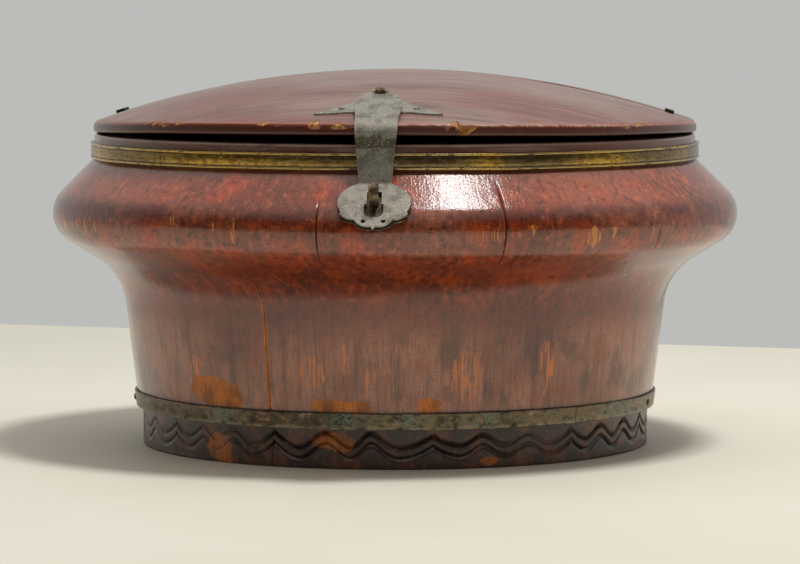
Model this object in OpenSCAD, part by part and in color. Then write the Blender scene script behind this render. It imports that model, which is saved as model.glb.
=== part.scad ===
// Round coopered box with a bulging shoulder, a domed lid, two hoops and a front hasp.
// Millimetres. The axis is Z, the table is z = 0, the hasp faces -Y and the lid hinges at +Y.

/* [Body] */
// Radius of the body at the widest point of the bulge
bulge_r = 200; // [196:0.5:206]
// Height of the widest point of the bulge
bulge_z = 135; // [131:0.1:139]
// Radius of the round nose of the bulge
nose_r = 18; // [17:0.5:22]
// Angle of the shoulder from upright
shoulder_angle = 45; // [43:0.5:47]
// Angle of the underside of the bulge from upright
under_angle = 58; // [52:0.5:61]
// Radius of the hollow below the bulge
hollow_r = 36; // [28:1:44]
// Angle of the tapered wall from upright
taper_angle = 7.3; // [5:0.1:9]
// How far the tapered wall is set in from the bulge, at the top of the lower hoop
taper_set_in = 48.8; // [46:0.1:52]
// How far the neck is set in from the bulge
neck_set_in = 24.5; // [22.5:0.1:27]
// Height of the neck above the shoulder
neck_h = 14.5; // [13:0.1:18]
// How far the foot is set in from the foot of the tapered wall
foot_set_in = 2.1; // [1:0.1:4]
// Height of the foot
foot_h = 22.3; // [20:0.1:25]
// Thickness of the staves
wall = 14; // [12:0.5:16]

/* [Staves and floor] */
// Number of staves round the body
stave_count = 24; // [20:1:26]
// Angle from the front to the first joint
first_joint = 5.9; // [3:0.1:12]
// Height of the lower row of bamboo pins
stave_pin_z = 60; // [50:1:66]
// Radius of the bamboo pins between the staves
stave_pin_r = 2; // [1.5:0.1:2.5]
// Length of the bamboo pins between the staves
stave_pin_length = 16; // [12:1:20]
// Height of the underside of the floor
floor_z = 22; // [18:0.5:30]
// Thickness of the floor
floor_t = 10; // [7:0.5:13]
// Depth of the groove that holds the floor
groove_depth = 5; // [3:0.5:6]
// Number of floor boards
floor_boards = 3; // [2:1:5]

/* [Hoops] */
// Height of the upper hoop
upper_hoop_h = 9.4; // [7:0.1:10]
// Thickness of the upper hoop between its rolled edges
upper_hoop_t = 1.5; // [1:0.1:2]
// Radius of the rolled edges of the upper hoop
bead_r = 1.1; // [0.9:0.05:1.3]
// How far the rolled edges stand out from the upper hoop
bead_proud = 0.8; // [0.5:0.05:0.9]
// Angle from the front to the seam of the upper hoop
upper_seam = -44; // [-60:1:-38]
// Height of the lower hoop
lower_hoop_h = 9.2; // [7:0.1:10]
// Thickness of the lower hoop
lower_hoop_t = 1.5; // [1:0.1:2]
// Angle from the front to the seam of the lower hoop
lower_seam = 45; // [30:1:60]
// Width of the seam in a hoop
seam_gap = 0.4; // [0.2:0.1:0.8]

/* [Lid] */
// How far the lid stands out past the neck
lid_overhang = 0.5; // [0:0.1:1.4]
// Height of the upright edge of the lid
lid_edge = 6; // [4:0.1:8]
// Rise of the dome above the edge of the lid
lid_rise = 30; // [26:0.5:34]
// Thickness of the lid at the crown
lid_t = 10; // [8:0.5:12]
// Width of the flat ring that the lid sits on
lid_seat_w = 18; // [15:0.5:24]
// Rounding of the upper edge of the lid
lid_round = 3.2; // [1:0.1:4]
// Rounding of the lower edge of the lid
lid_low_round = 1.6; // [0.8:0.1:2.2]
// Angle by which each lid board has lifted at its outer edge
cup = 1.4; // [1:0.1:1.8]
// Radius of the bamboo pins between the lid boards
lid_pin_r = 2.5; // [2:0.1:3]
// Length of the bamboo pins between the lid boards
lid_pin_length = 26; // [20:1:34]
// Distance of the outer pins from the middle of the lid
lid_pin_x = 90; // [70:1:110]

/* [Cramps] */
// Distance of each cramp from the edge of the lid
cramp_set_in = 16; // [11:0.5:26]
// Length of a cramp across the joint
cramp_length = 20; // [16:0.5:26]
// Width of a cramp
cramp_w = 5.3; // [4:0.1:6]
// Thickness of a cramp
cramp_t = 1.4; // [1:0.1:2]
// Depth of the legs of a cramp
cramp_leg = 6; // [4:0.5:8]

/* [Hasp] */
// Distance of the hasp's pivot from the edge of the lid
pivot_set_in = 38; // [34:0.5:44]
// Height of the pivot above the lid
pivot_h = 6; // [5:0.1:7.5]
// Thickness of the hasp
hasp_t = 1.2; // [0.9:0.1:1.5]
// Radius of the round bar at the top of the hasp
bar_r = 1.5; // [1.2:0.1:1.8]
// Widest part of the strap
strap_wide = 26.5; // [24:0.5:29]
// Width of the strap where it bends over the edge of the lid
strap_bend_w = 23.4; // [21:0.2:25]
// Width of the strap where it joins the disc
strap_low_w = 17.8; // [16:0.2:20]
// Length of the strap's rounded top end
strap_end = 20; // [16:0.5:24]
// Distance of the strap's upper bend in front of the upper hoop
strap_stand_off = 2.4; // [1.8:0.1:3.2]
// Gap between the strap and the edge of the lid
strap_gap = 1; // [0.8:0.1:1.5]
// Inner radius of the bend over the edge of the lid
over_bend_r = 8; // [6:0.5:9]
// Inner radius of the sharper bends of the hasp and the hinge
bend_r = 3; // [2:0.1:4]
// Distance of the disc's top from the neck, down the shoulder
disc_s = 12.4; // [11:0.1:14]
// Gap between the lock plate and the disc
disc_gap = 1.2; // [0.8:0.1:1.8]
// Half the width of the disc
disc_r = 19.8; // [19:0.1:22]
// Half the length of the disc's upper oval
disc_b = 15; // [14:0.1:16.5]
// Length of the disc from the bend to its tip
disc_length = 33; // [32:0.1:35]
// Distance from the disc's bend to its outer cusps
outer_cusp_s = 21.4; // [20.5:0.1:22]
// Half the distance between the outer cusps
outer_cusp_x = 18.5; // [18:0.1:19]
// Distance from the disc's bend to its inner cusps
inner_cusp_s = 25.5; // [25:0.1:27]
// Half the distance between the inner cusps
inner_cusp_x = 10.5; // [9:0.1:12]
// How far the disc's outer lobes bulge past their cusps
outer_lobe = 1.3; // [1:0.1:1.6]
// How far the disc's inner lobes bulge past their cusps
inner_lobe = 1.8; // [1.4:0.1:2.2]
// Length of the pointed tip of the disc
tip_length = 2.6; // [2:0.1:3.2]
// Width of the pointed tip of the disc
tip_w = 2.8; // [2:0.1:3.5]
// Width of the upper part of the slot
slot_w = 8; // [7:0.1:9]
// Width of the lower part of the slot
slot_low_w = 10.5; // [9.5:0.1:12]
// Distance from the disc's bend to the lower end of the slot
slot_end = 24; // [23:0.1:25]
// Rounding of the lower corners of the slot
slot_round = 3.5; // [2.5:0.1:4.5]
// Diameter of the two small piercings near the tip
piercing_d = 2.6; // [2:0.1:3]
// Distance from the disc's bend to the piercings
piercing_s = 27; // [26.8:0.1:27.5]
// Half the distance between the piercings
piercing_x = 5.4; // [4.5:0.1:6]

/* [Hasp plate] */
// Half the span of the plate's wings
plate_span = 35.5; // [33:0.5:38]
// Distance of the plate's front edge from the edge of the lid
plate_front = 16; // [13:0.5:18]
// Distance of the plate's rear edge from the edge of the lid
plate_rear = 48; // [46:0.5:52]
// Distance of the tips of the wings from the edge of the lid
plate_tip = 18; // [16:0.5:20]
// Distance of the inner ends of the wings from the edge of the lid
plate_root = 43; // [40:0.5:45]
// Half the width of the plate between its wings
plate_root_x = 8.8; // [7:0.1:10]
// Thickness of the plate
plate_t = 1; // [0.7:0.1:1.4]
// Distance of the plate's nails from the middle
plate_nail_x = 20.5; // [19:0.5:22]
// Distance of the plate's nails from the edge of the lid
plate_nail = 25; // [23:0.5:26]

/* [Split pins] */
// Width of the strip that the hasp's split pin is made of
cotter_w = 5.4; // [4.5:0.1:6]
// Thickness of the strip that the hasp's split pin is made of
cotter_t = 1.2; // [0.9:0.1:1.4]
// Length of the clenched legs of the hasp's split pin
cotter_leg = 8; // [6:0.5:10]
// Distance of the staple from the neck, down the shoulder
staple_s = 24.6; // [23.8:0.1:25.2]
// Width of the strip that the staple is made of
staple_w = 5; // [4.5:0.1:5.6]
// Thickness of the strip that the staple is made of
staple_t = 1.3; // [1:0.1:1.6]
// Radius of the staple's eye
eye_r = 4.2; // [3.9:0.1:4.5]
// Height of the staple's eye above the shoulder
eye_h = 10.2; // [9.5:0.1:11]
// Length of the staple's upper clenched leg
staple_leg = 9; // [6:0.5:11]
// Length of the staple's lower clenched leg below the hollow of the bulge
staple_low_leg = 5; // [3:0.5:8]
// Thickness of the lock plate
lock_plate_t = 0.9; // [0.7:0.1:1.2]
// How far the lock plate shows round the disc
lock_plate_rim = 0.5; // [0.3:0.1:0.9]

/* [Hinge] */
// Width of the hinge
hinge_w = 26; // [22:0.5:32]
// Width of the middle knuckle
knuckle_w = 10; // [8:0.5:12]
// Outer radius of the knuckles
knuckle_r = 3.2; // [2.9:0.1:3.6]
// Radius of the hinge pin
hinge_pin_r = 1.6; // [1.3:0.1:1.8]
// Height of the hinge pin above the rim
hinge_rise = 3.2; // [2.1:0.1:4.1]
// Thickness of the leaves of the hinge
leaf_t = 1.2; // [0.9:0.1:1.4]
// Length of the lid leaf on the lid
lid_leaf_length = 44; // [38:1:52]
// Length of the body leaf down the shoulder
body_leaf_s = 24; // [22:0.5:25]
// Distance of the body leaf's nails from the neck, down the shoulder
body_leaf_nail_s = 14; // [12:0.5:16]

/* [Nails] */
// Radius of a nail's head
head_r = 1.9; // [1.6:0.1:2.3]
// Height of a nail's head
head_h = 1; // [0.7:0.1:1.3]
// Radius of a nail's shank
shank_r = 0.8; // [0.6:0.05:1]
// Depth of a nail in the wood
nail_depth = 7; // [6:0.1:7.5]

/* [Clearances] */
// Gap between two staves, measured on the bulge
joint_gap = 0.25; // [0.15:0.01:0.4]
// Gap between the floor and its groove
floor_gap = 0.2; // [0.1:0.05:0.4]
// Gap round a bamboo pin, a nail or a leg in its hole
hole_gap = 0.06; // [0.03:0.01:0.12]
// Gap between metalwork and the surface that it lies on
seat_gap = 0.15; // [0.1:0.01:0.25]
// Gap between the lid and the rim
lid_gap = 0.3; // [0.2:0.05:0.5]
// Gap between clenched legs and the wood
clench_gap = 0.4; // [0.3:0.05:0.6]
// Gap under the head of a nail
nail_gap = 0.05; // [0.03:0.01:0.1]
// Room round the staple and the split pin in the hasp's openings
opening_room = 0.8; // [0.6:0.1:1.2]
// Gap round a pin that turns
running_gap = 0.05; // [0.03:0.01:0.08]

/* [Hidden] */
$fn = 180;
corner_steps = 10;
arc_steps = 24;
tiny = 0.01;
upper_nail_angles = [-29.5, 47.5, 135, 225];
lower_nail_angles = [-82, 77, 146, 208];
body_leaf_nail_x = [-8, 8];
lid_leaf_nails = [[0, 33], [-7.5, 10], [7.5, 10]];
stave_step = 360 / stave_count;
joint_angle = joint_gap / bulge_r * 180 / PI;

// Directions of the lines of the outer profile, and the centre of the nose
taper_dir = 90 - taper_angle;
under_dir = 90 - under_angle;
shoulder_dir = 90 + shoulder_angle;
shoulder_normal = shoulder_dir - 90;
nose_c = [bulge_r - nose_r, bulge_z];
neck_r = bulge_r - neck_set_in;
taper_r = bulge_r - taper_set_in;
lower_hoop_z = foot_h + seat_gap;
taper_z = lower_hoop_z + lower_hoop_h;

// The rim, and the lid's dome and hollow
neck_z = meet(nose_c + nose_r * unit(shoulder_normal), shoulder_dir, [neck_r, 0], 90)[1];
rim_z = neck_z + neck_h;
lid_z = rim_z + lid_gap;
lid_r = neck_r + lid_overhang;
lid_seat_r = lid_r - lid_seat_w;
pivot_u = lid_r - pivot_set_in;
hinge_z = rim_z + hinge_rise;
crown_z = lid_z + lid_edge + lid_rise;
dome_r = (lid_r * lid_r + lid_rise * lid_rise) / (2 * lid_rise);
hollow_rise = lid_edge + lid_rise - lid_t;
dome_in_r = (lid_seat_r * lid_seat_r + hollow_rise * hollow_rise) / (2 * hollow_rise);
lid_edge_slope = asin(lid_r / dome_r) - cup;

// Points and lines in a section plane, as [distance from the axis, height]
function unit(a) = [cos(a), sin(a)];
function turned(v, a) = [v[0] * cos(a) - v[1] * sin(a), v[0] * sin(a) + v[1] * cos(a)];
function meet(p, a, q, b) = p + unit(a) * cross(q - p, unit(b)) / cross(unit(a), unit(b));
function reversed(list) = [for (i = [len(list) - 1 : -1 : 0]) list[i]];
function left_of(p, q) = turned(q - p, 90) / norm(q - p);
function mirrored(list) = [for (p = reversed(list)) if (p[0] > tiny) [-p[0], p[1]]];

// An arc of radius r that rounds the corner b between a and c
function corner_arc(a, b, c, r) =
    let (u = (a - b) / norm(a - b))
    let (v = (c - b) / norm(c - b))
    let (half = acos(u * v) / 2)
    let (centre = b + (u + v) / norm(u + v) * r / sin(half))
    let (start = b + u * r / tan(half) - centre)
    let (sweep = sign(cross(b - a, c - b)) * (180 - 2 * half))
    [for (i = [0 : corner_steps]) centre + turned(start, sweep * i / corner_steps)];

// A path whose corners are rounded, with one radius for each point and 0 for a sharp one
function rounded(path, radii) = [
    for (i = [0 : len(path) - 1])
        each radii[i] > 0 ? corner_arc(path[i - 1], path[i], path[i + 1], radii[i]) : [path[i]]
];

// An arc from p towards q that bulges to the left by sag, without q itself
function bow(p, q, sag) =
    let (chord = norm(q - p))
    let (r = (chord * chord / 4 + sag * sag) / (2 * sag))
    let (half = asin(chord / (2 * r)))
    let (centre = (p + q) / 2 + left_of(p, q) * (sag - r))
    [
        for (i = [0 : corner_steps - 1])
            centre + turned(left_of(p, q) * r, half * (1 - 2 * i / corner_steps))
    ];

// One side of a strip that follows a path, at a distance to the left of it
function strip_side(path, off) = [
    for (i = [0 : len(path) - 1])
        let (last = len(path) - 1)
        let (n0 = left_of(path[max(i - 1, 0)], path[max(i, 1)]))
        let (n1 = left_of(path[min(i, last - 1)], path[min(i + 1, last)]))
        path[i] + (n0 + n1) * off / (1 + n0 * n1)
];
function strip(path, t) = concat(strip_side(path, t / 2), reversed(strip_side(path, -t / 2)));

// The body's wall: corners of the profile at a distance inside its outer face
function taper_at(z, inside) =
    meet([taper_r, taper_z] - inside * unit(taper_dir - 90), taper_dir, [0, z], 0);
function wall_corners(inside, z_low) =
    let (under = nose_c + (nose_r - inside) * unit(under_dir - 90))
    let (shoulder = nose_c + (nose_r - inside) * unit(shoulder_normal))
    [
        taper_at(z_low, inside),
        meet(taper_at(z_low, inside), taper_dir, under, under_dir),
        meet(under, under_dir, shoulder, shoulder_dir),
        meet(shoulder, shoulder_dir, [neck_r - inside, 0], 90),
        [neck_r - inside, rim_z]
    ];
function wall_path(inside, z_low) =
    rounded(wall_corners(inside, z_low), [0, hollow_r + inside, nose_r - inside, 0, 0]);
neck_corner = [neck_r, neck_z];
foot_r = taper_at(foot_h, 0)[0] - foot_set_in;
function shoulder_at(s, h) =
    neck_corner - s * unit(shoulder_dir) + h * unit(shoulder_normal);

// The lid's dome at a distance from the axis, raised by h, where the boards have lifted
function lid_at(u, h) =
    let (a = asin(u / dome_r))
    [0, crown_z] + turned((dome_r + h) * [sin(a), cos(a)] - [0, dome_r], cup);
function lid_normal(u) = 90 - asin(u / dome_r) + cup;
function lid_depth(u) =
    let (top = sqrt(dome_r * dome_r - u * u) - dome_r)
    let (under = sqrt(dome_in_r * dome_in_r - u * u) - dome_in_r - lid_t)
    (top - under) * cos(asin(u / dome_r));

// Heights and distances that several pieces share
upper_hoop_z = neck_corner[1] + seat_gap;
upper_hoop_r = neck_r + seat_gap;
hoop_front_r = upper_hoop_r + upper_hoop_t + bead_proud;
groove_r = taper_at(floor_z, wall)[0] + groove_depth;
lock_plate_top = seat_gap + lock_plate_t;
disc_h = lock_plate_top + disc_gap + hasp_t / 2;
pivot = lid_at(pivot_u, pivot_h);
cotter_r = bar_r + running_gap + cotter_t;
eye_out_r = eye_r + staple_t;
leaf_h = seat_gap + leaf_t / 2;
hinge_u = hoop_front_r + seat_gap + knuckle_r;
leaf_u = hinge_u - knuckle_r + leaf_t;
knuckle_room = knuckle_r + seat_gap * 2;
outer_knuckle_w = (hinge_w - knuckle_w) / 2 - 3 * seat_gap;
outer_knuckle_x = (hinge_w - outer_knuckle_w) / 2 - seat_gap;
lid_leaf_end = lid_r - lid_leaf_length;
body_leaf_nail_seat = shoulder_at(body_leaf_nail_s, seat_gap + leaf_t + nail_gap);
nail_point = 2 * shank_r;
mask_t = 4 * hasp_t;

// The hasp's path: pivot, bend over the lid's edge, bend on to the shoulder, disc
strap_over = lid_at(lid_r, strap_gap + hasp_t / 2);
hasp_bend = meet([hoop_front_r + strap_stand_off, 0], 90, strap_over, -lid_edge_slope);
hasp_foot = shoulder_at(disc_s, disc_h);
hasp_path = rounded(
    [pivot, hasp_bend, hasp_foot, shoulder_at(disc_s + disc_length + hasp_t, disc_h)],
    [0, over_bend_r + hasp_t / 2, bend_r + hasp_t / 2, 0]
);
hasp_dir = atan2(hasp_bend[1] - pivot[1], hasp_bend[0] - pivot[0]);
strap_split_z = hasp_bend[1] - bend_r;
window_w = cotter_w + opening_room;
window_length = cotter_r + bar_r + opening_room;

function stave_name(k) = str("stave_", k < 9 ? "0" : "", k + 1);
function floor_name(k) = str("floor_board_", k + 1);

// Places: an angle from the front, the front or back section plane, a face in it, a spot on the lid
module at_angle(a) {
    rotate([0, 0, a - 90]) children();
}
module front() {
    rotate([90, 0, -90]) children();
}
module back() {
    rotate([90, 0, 90]) children();
}
module facing(p, normal, across = 0) {
    translate([p[0], p[1], across]) rotate([0, 0, normal]) rotate([0, 90, 0]) children();
}
module lifted(side) {
    translate([0, 0, crown_z]) rotate([side * cup, 0, 0]) translate([0, 0, -crown_z]) children();
}
module on_dome(x, y) {
    translate([0, 0, crown_z - dome_r])
        rotate([0, asin(norm([x, y]) / dome_r), atan2(y, x)])
            translate([0, 0, dome_r])
                children();
}

// A nail that points down, with the underside of its head at z = 0
module nail() {
    shank = [[0, -nail_depth], [shank_r, nail_point - nail_depth], [shank_r, 0]];
    head = [for (i = [0 : corner_steps])
        let (a = 90 * i / corner_steps)
        [head_r * cos(a), head_h * sin(a)]];
    rotate_extrude() polygon(concat(shank, head));
}
module nail_hole() {
    translate([0, 0, -nail_depth - hole_gap]) cylinder(r = shank_r + hole_gap, h = nail_depth * 2);
}
module block(size, lift = 0) {
    translate([-size[0] / 2, -size[1] / 2, lift]) cube(size);
}

// Where the nails and legs go: each takes the nail, leg or cut as its child
module upper_hoop_nail_places() {
    for (a = upper_nail_angles)
        at_angle(a)
            translate([upper_hoop_r + upper_hoop_t + nail_gap, 0, upper_hoop_z + upper_hoop_h / 2])
                rotate([0, 90, 0])
                    children();
}
module lower_hoop_nail_places() {
    middle = taper_at(lower_hoop_z + lower_hoop_h / 2, -seat_gap - lower_hoop_t - nail_gap);
    for (a = lower_nail_angles)
        at_angle(a) translate([middle[0], 0, middle[1]]) rotate([0, 90 + taper_angle, 0]) children();
}
module plate_nail_places() {
    for (x = [-plate_nail_x, plate_nail_x])
        lifted(-1)
            on_dome(x, plate_nail - lid_r)
                translate([0, 0, seat_gap + plate_t + nail_gap])
                    children();
}
module lid_leaf_nail_places() {
    for (p = lid_leaf_nails)
        lifted(1)
            on_dome(p[0], lid_r - p[1])
                translate([0, 0, seat_gap + leaf_t + nail_gap + p[0] * p[0] / (2 * dome_r)])
                    children();
}
module body_leaf_nail_places() {
    for (x = body_leaf_nail_x) facing(body_leaf_nail_seat, shoulder_normal, x) children();
}
module cramp_places() {
    for (side = [-1, 1])
        on_dome(side * (lid_r - cramp_set_in), 0)
            translate([0, 0, seat_gap + cramp_length / 2 * sin(cup)])
                children();
}
module stave_pin_places(joints) {
    for (j = joints)
        for (place = [taper_at(stave_pin_z, wall / 2), nose_c + [nose_r - wall / 2, 0]])
            at_angle(first_joint + j * stave_step)
                translate([place[0], 0, place[1]])
                    rotate([90, 0, 0])
                        children();
}
module lid_pin_places() {
    for (x = [-lid_pin_x, 0, lid_pin_x])
        translate([x, 0, crown_z - lid_t / 2 - x * x / (2 * dome_r)]) rotate([90, 0, 0]) children();
}

// Staves and floor
module stave_section() {
    foot = [[foot_r, 0], [foot_r, foot_h]];
    difference() {
        polygon(concat(foot, wall_path(0, foot_h), reversed(wall_path(wall, 0))));
        translate([0, floor_z - floor_gap]) square([groove_r, floor_t + 2 * floor_gap]);
    }
}
function is_near(k, angle) =
    let (middle = first_joint + (k - 1 / 2) * stave_step)
    cos(angle - middle) > cos(stave_step);
function any_near(k, angles) = len([for (a = angles) if (is_near(k, a)) a]) > 0;
module stave(k) {
    color(k % 2 == 0 ? "#8a3a26" : "#7f3423")
        difference() {
            at_angle(first_joint + (k - 1) * stave_step + joint_angle / 2)
                rotate_extrude(angle = stave_step - joint_angle)
                    stave_section();
            stave_pin_places([k - 1, k])
                cylinder(r = stave_pin_r + hole_gap, h = stave_pin_length + 2 * hole_gap, center = true);
            if (any_near(k, upper_nail_angles)) upper_hoop_nail_places() nail_hole();
            if (any_near(k, lower_nail_angles)) lower_hoop_nail_places() nail_hole();
            if (is_near(k, 180)) back() body_leaf_nail_places() nail_hole();
            if (is_near(k, 0)) front() staple_hole();
        }
}
module stave_pins() {
    color("#c9b27c")
        stave_pin_places([0 : stave_count - 1])
            cylinder(r = stave_pin_r, h = stave_pin_length, center = true);
}
module floor_board(k) {
    board_w = 2 * (groove_r - floor_gap) / floor_boards;
    color("#9a6b43")
        intersection() {
            translate([0, 0, floor_z]) cylinder(r = groove_r - floor_gap, h = floor_t);
            translate([-groove_r, floor_gap / 2 - groove_r + floor_gap + k * board_w, 0])
                cube([2 * groove_r, board_w - floor_gap, rim_z]);
        }
}

// Hoops
module upper_hoop() {
    color("#8d7a3c")
        difference() {
            at_angle(upper_seam)
                rotate_extrude(angle = 360 - seam_gap / upper_hoop_r * 180 / PI)
                    translate([upper_hoop_r, upper_hoop_z]) {
                        square([upper_hoop_t, upper_hoop_h]);
                        for (z = [bead_r, upper_hoop_h - bead_r])
                            translate([upper_hoop_t + bead_proud - bead_r, z]) circle(r = bead_r, $fn = 32);
                    }
            upper_hoop_nail_places() nail_hole();
        }
}
module upper_hoop_nails() {
    color("#b89c4a") upper_hoop_nail_places() nail();
}
module lower_hoop() {
    low = lower_hoop_z;
    top = taper_z;
    color("#7f8066")
        difference() {
            at_angle(lower_seam)
                rotate_extrude(angle = 360 - seam_gap / taper_r * 180 / PI)
                    polygon([
                        taper_at(low, -seat_gap),
                        taper_at(low, -seat_gap - lower_hoop_t),
                        taper_at(top, -seat_gap - lower_hoop_t),
                        taper_at(top, -seat_gap)
                    ]);
            lower_hoop_nail_places() nail_hole();
        }
}
module lower_hoop_nails() {
    color("#6f6a50") lower_hoop_nail_places() nail();
}

// Lid: one turned dome, lifted and cut along the joint at its crest
function dome_arc(r, u_max, top) = [
    for (i = [0 : arc_steps])
        let (u = u_max * (1 - i / arc_steps))
        [u, top - r + sqrt(r * r - u * u)]
];
module lid_disc() {
    edge = [[lid_seat_r, lid_z], [lid_r, lid_z]];
    path = concat(edge, dome_arc(dome_r, lid_r, crown_z));
    radii = [for (i = [0 : len(path) - 1]) i == 1 ? lid_low_round : i == 2 ? lid_round : 0];
    under = reversed(dome_arc(dome_in_r, lid_seat_r, crown_z - lid_t));
    rotate_extrude() polygon(concat(rounded(path, radii), [for (i = [0 : arc_steps - 1]) under[i]]));
}
module lid_half(side) {
    intersection() {
        lifted(side) lid_disc();
        translate([-lid_r * 2, side > 0 ? joint_gap / 2 : -lid_r * 2 - joint_gap / 2, 0])
            cube([lid_r * 4, lid_r * 2, crown_z * 2]);
    }
}
module lid_joint_cuts() {
    lid_pin_places() cylinder(r = lid_pin_r + hole_gap, h = lid_pin_length + 2 * hole_gap, center = true);
    cramp_places() cramp_legs(hole_gap);
}
module lid_front_board() {
    color("#8b5f55")
        difference() {
            lid_half(-1);
            lid_joint_cuts();
            plate_nail_places() nail_hole();
            front() cotter_shank(hole_gap);
        }
}
module lid_back_board() {
    color("#865a50")
        difference() {
            lid_half(1);
            lid_joint_cuts();
            lid_leaf_nail_places() nail_hole();
        }
}
module lid_pins() {
    color("#c9b27c") lid_pin_places() cylinder(r = lid_pin_r, h = lid_pin_length, center = true);
}
module cramp_legs(gap) {
    for (y = [-1, 1])
        translate([0, y * (cramp_length - cramp_t) / 2, -cramp_leg - gap])
            block([cramp_w + 2 * gap, cramp_t + 2 * gap, cramp_leg + cramp_t + gap]);
}
module lid_cramps() {
    color("#3b3633")
        cramp_places() {
            block([cramp_w, cramp_length, cramp_t]);
            cramp_legs(0);
        }
}

// Hasp plate: a thin dome cut to its winged outline
module plate_outline() {
    tip = [plate_span, plate_tip - lid_r];
    cusp = [plate_nail_x - head_r, plate_tip - lid_r];
    root = [plate_root_x, plate_root - lid_r];
    half = concat(
        [[0, plate_front - lid_r]],
        bow(cusp, tip, -plate_t),
        bow(tip, root, plate_t * 2),
        [root, [0, plate_rear - lid_r]]
    );
    polygon(concat(half, mirrored(half)));
}
module hasp_plate() {
    shell = concat(
        dome_arc(dome_r + seat_gap, lid_r, crown_z + seat_gap),
        reversed(dome_arc(dome_r + seat_gap + plate_t, lid_r, crown_z + seat_gap + plate_t))
    );
    color("#77715f")
        difference() {
            lifted(-1)
                intersection() {
                    rotate_extrude() polygon(shell);
                    linear_extrude(height = crown_z * 2) plate_outline();
                }
            plate_nail_places() nail_hole();
            front() cotter_shank(hole_gap);
        }
}
module hasp_plate_nails() {
    color("#a59a7a") plate_nail_places() nail();
}

// The hasp's split pin: an eye round the hasp's bar, a doubled shank and two clenched legs
module cotter_shank(gap) {
    depth = lid_depth(pivot_u) + clench_gap + cotter_t;
    facing(lid_at(pivot_u, 0), lid_normal(pivot_u))
        block([cotter_w + 2 * gap, 2 * cotter_t + 2 * gap, depth + pivot_h], -depth);
}
module hasp_split_pin() {
    color("#6b4a38")
        front()
            difference() {
                union() {
                    cotter_shank(0);
                    translate(pivot) cylinder(r = cotter_r, h = cotter_w, center = true);
                    facing(lid_at(pivot_u, 0), lid_normal(pivot_u))
                        translate([0, 0, -lid_depth(pivot_u) - clench_gap - cotter_t])
                            block([cotter_w, 2 * cotter_leg, cotter_t]);
                }
                translate(pivot) cylinder(r = bar_r + running_gap, h = cotter_w * 2, center = true);
            }
}

// Hasp
module strap_plan() {
    apex = bar_r - pivot[0];
    straight_y = over_bend_r - hasp_bend[0];
    far_y = -bulge_r - bend_r;
    end = [for (i = [0 : arc_steps]) let (a = 180 * i / arc_steps)
        [strap_wide / 2 * cos(a), apex + strap_end * (sin(a) - 1)]];
    side = [[strap_bend_w / 2, far_y], [strap_bend_w / 2, straight_y]];
    polygon(concat(end, mirrored(side), side));
}
module strap_front() {
    low_z = hasp_foot[1] - bend_r;
    half = [[strap_low_w / 2, low_z], [strap_low_w / 2, hasp_foot[1]], [strap_bend_w / 2, strap_split_z]];
    polygon(concat(half, mirrored(half)));
}
module disc_outline() {
    start = -acos(strap_low_w / 2 / disc_r);
    middle = -disc_b * sin(start);
    stop = asin((outer_cusp_s - outer_lobe - middle) / disc_b);
    oval = [for (i = [0 : arc_steps]) let (a = start + (stop - start) * i / arc_steps)
        [disc_r * cos(a), -middle - disc_b * sin(a)]];
    outer_cusp = [outer_cusp_x, -outer_cusp_s];
    inner_cusp = [inner_cusp_x, -inner_cusp_s];
    tip_root = [tip_w / 2, tip_length - disc_length];
    half = concat(
        oval,
        bow(outer_cusp, inner_cusp, outer_lobe),
        bow(inner_cusp, tip_root, inner_lobe),
        [tip_root, [0, -disc_length]]
    );
    polygon(concat(half, mirrored(half)));
}
module slot_outline() {
    top = disc_s - staple_s + eye_out_r + opening_room;
    waist = disc_s - staple_s - staple_w / 2;
    translate([-slot_w / 2, waist]) square([slot_w, top - waist]);
    low_half = rounded(
        [[slot_low_w / 2, waist + tiny], [slot_low_w / 2, -slot_end], [0, -slot_end]],
        [0, slot_round, 0]
    );
    polygon(concat(low_half, mirrored(low_half)));
}
module on_disc(t) {
    front() facing(hasp_foot, shoulder_normal) linear_extrude(height = t, center = true) children();
}
module hasp_sheet() {
    intersection() {
        front() linear_extrude(height = disc_r * 3, center = true) polygon(strip(hasp_path, hasp_t));
        union() {
            translate([0, 0, strap_split_z]) linear_extrude(height = lid_rise * 2) strap_plan();
            rotate([90, 0, 0]) linear_extrude(height = bulge_r * 2) strap_front();
            on_disc(mask_t) disc_outline();
        }
    }
}
module hasp() {
    color("#8f8f88") {
        difference() {
            hasp_sheet();
            on_disc(mask_t) {
                slot_outline();
                for (x = [-piercing_x, piercing_x]) translate([x, -piercing_s]) circle(d = piercing_d);
            }
            front()
                translate(pivot)
                    rotate([0, 0, hasp_dir])
                        translate([-bar_r * 2, -hasp_t, -window_w / 2])
                            cube([window_length + bar_r, hasp_t * 2, window_w]);
        }
        front() translate(pivot) cylinder(r = bar_r, h = window_w + bar_r * 2, center = true);
    }
}

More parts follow.
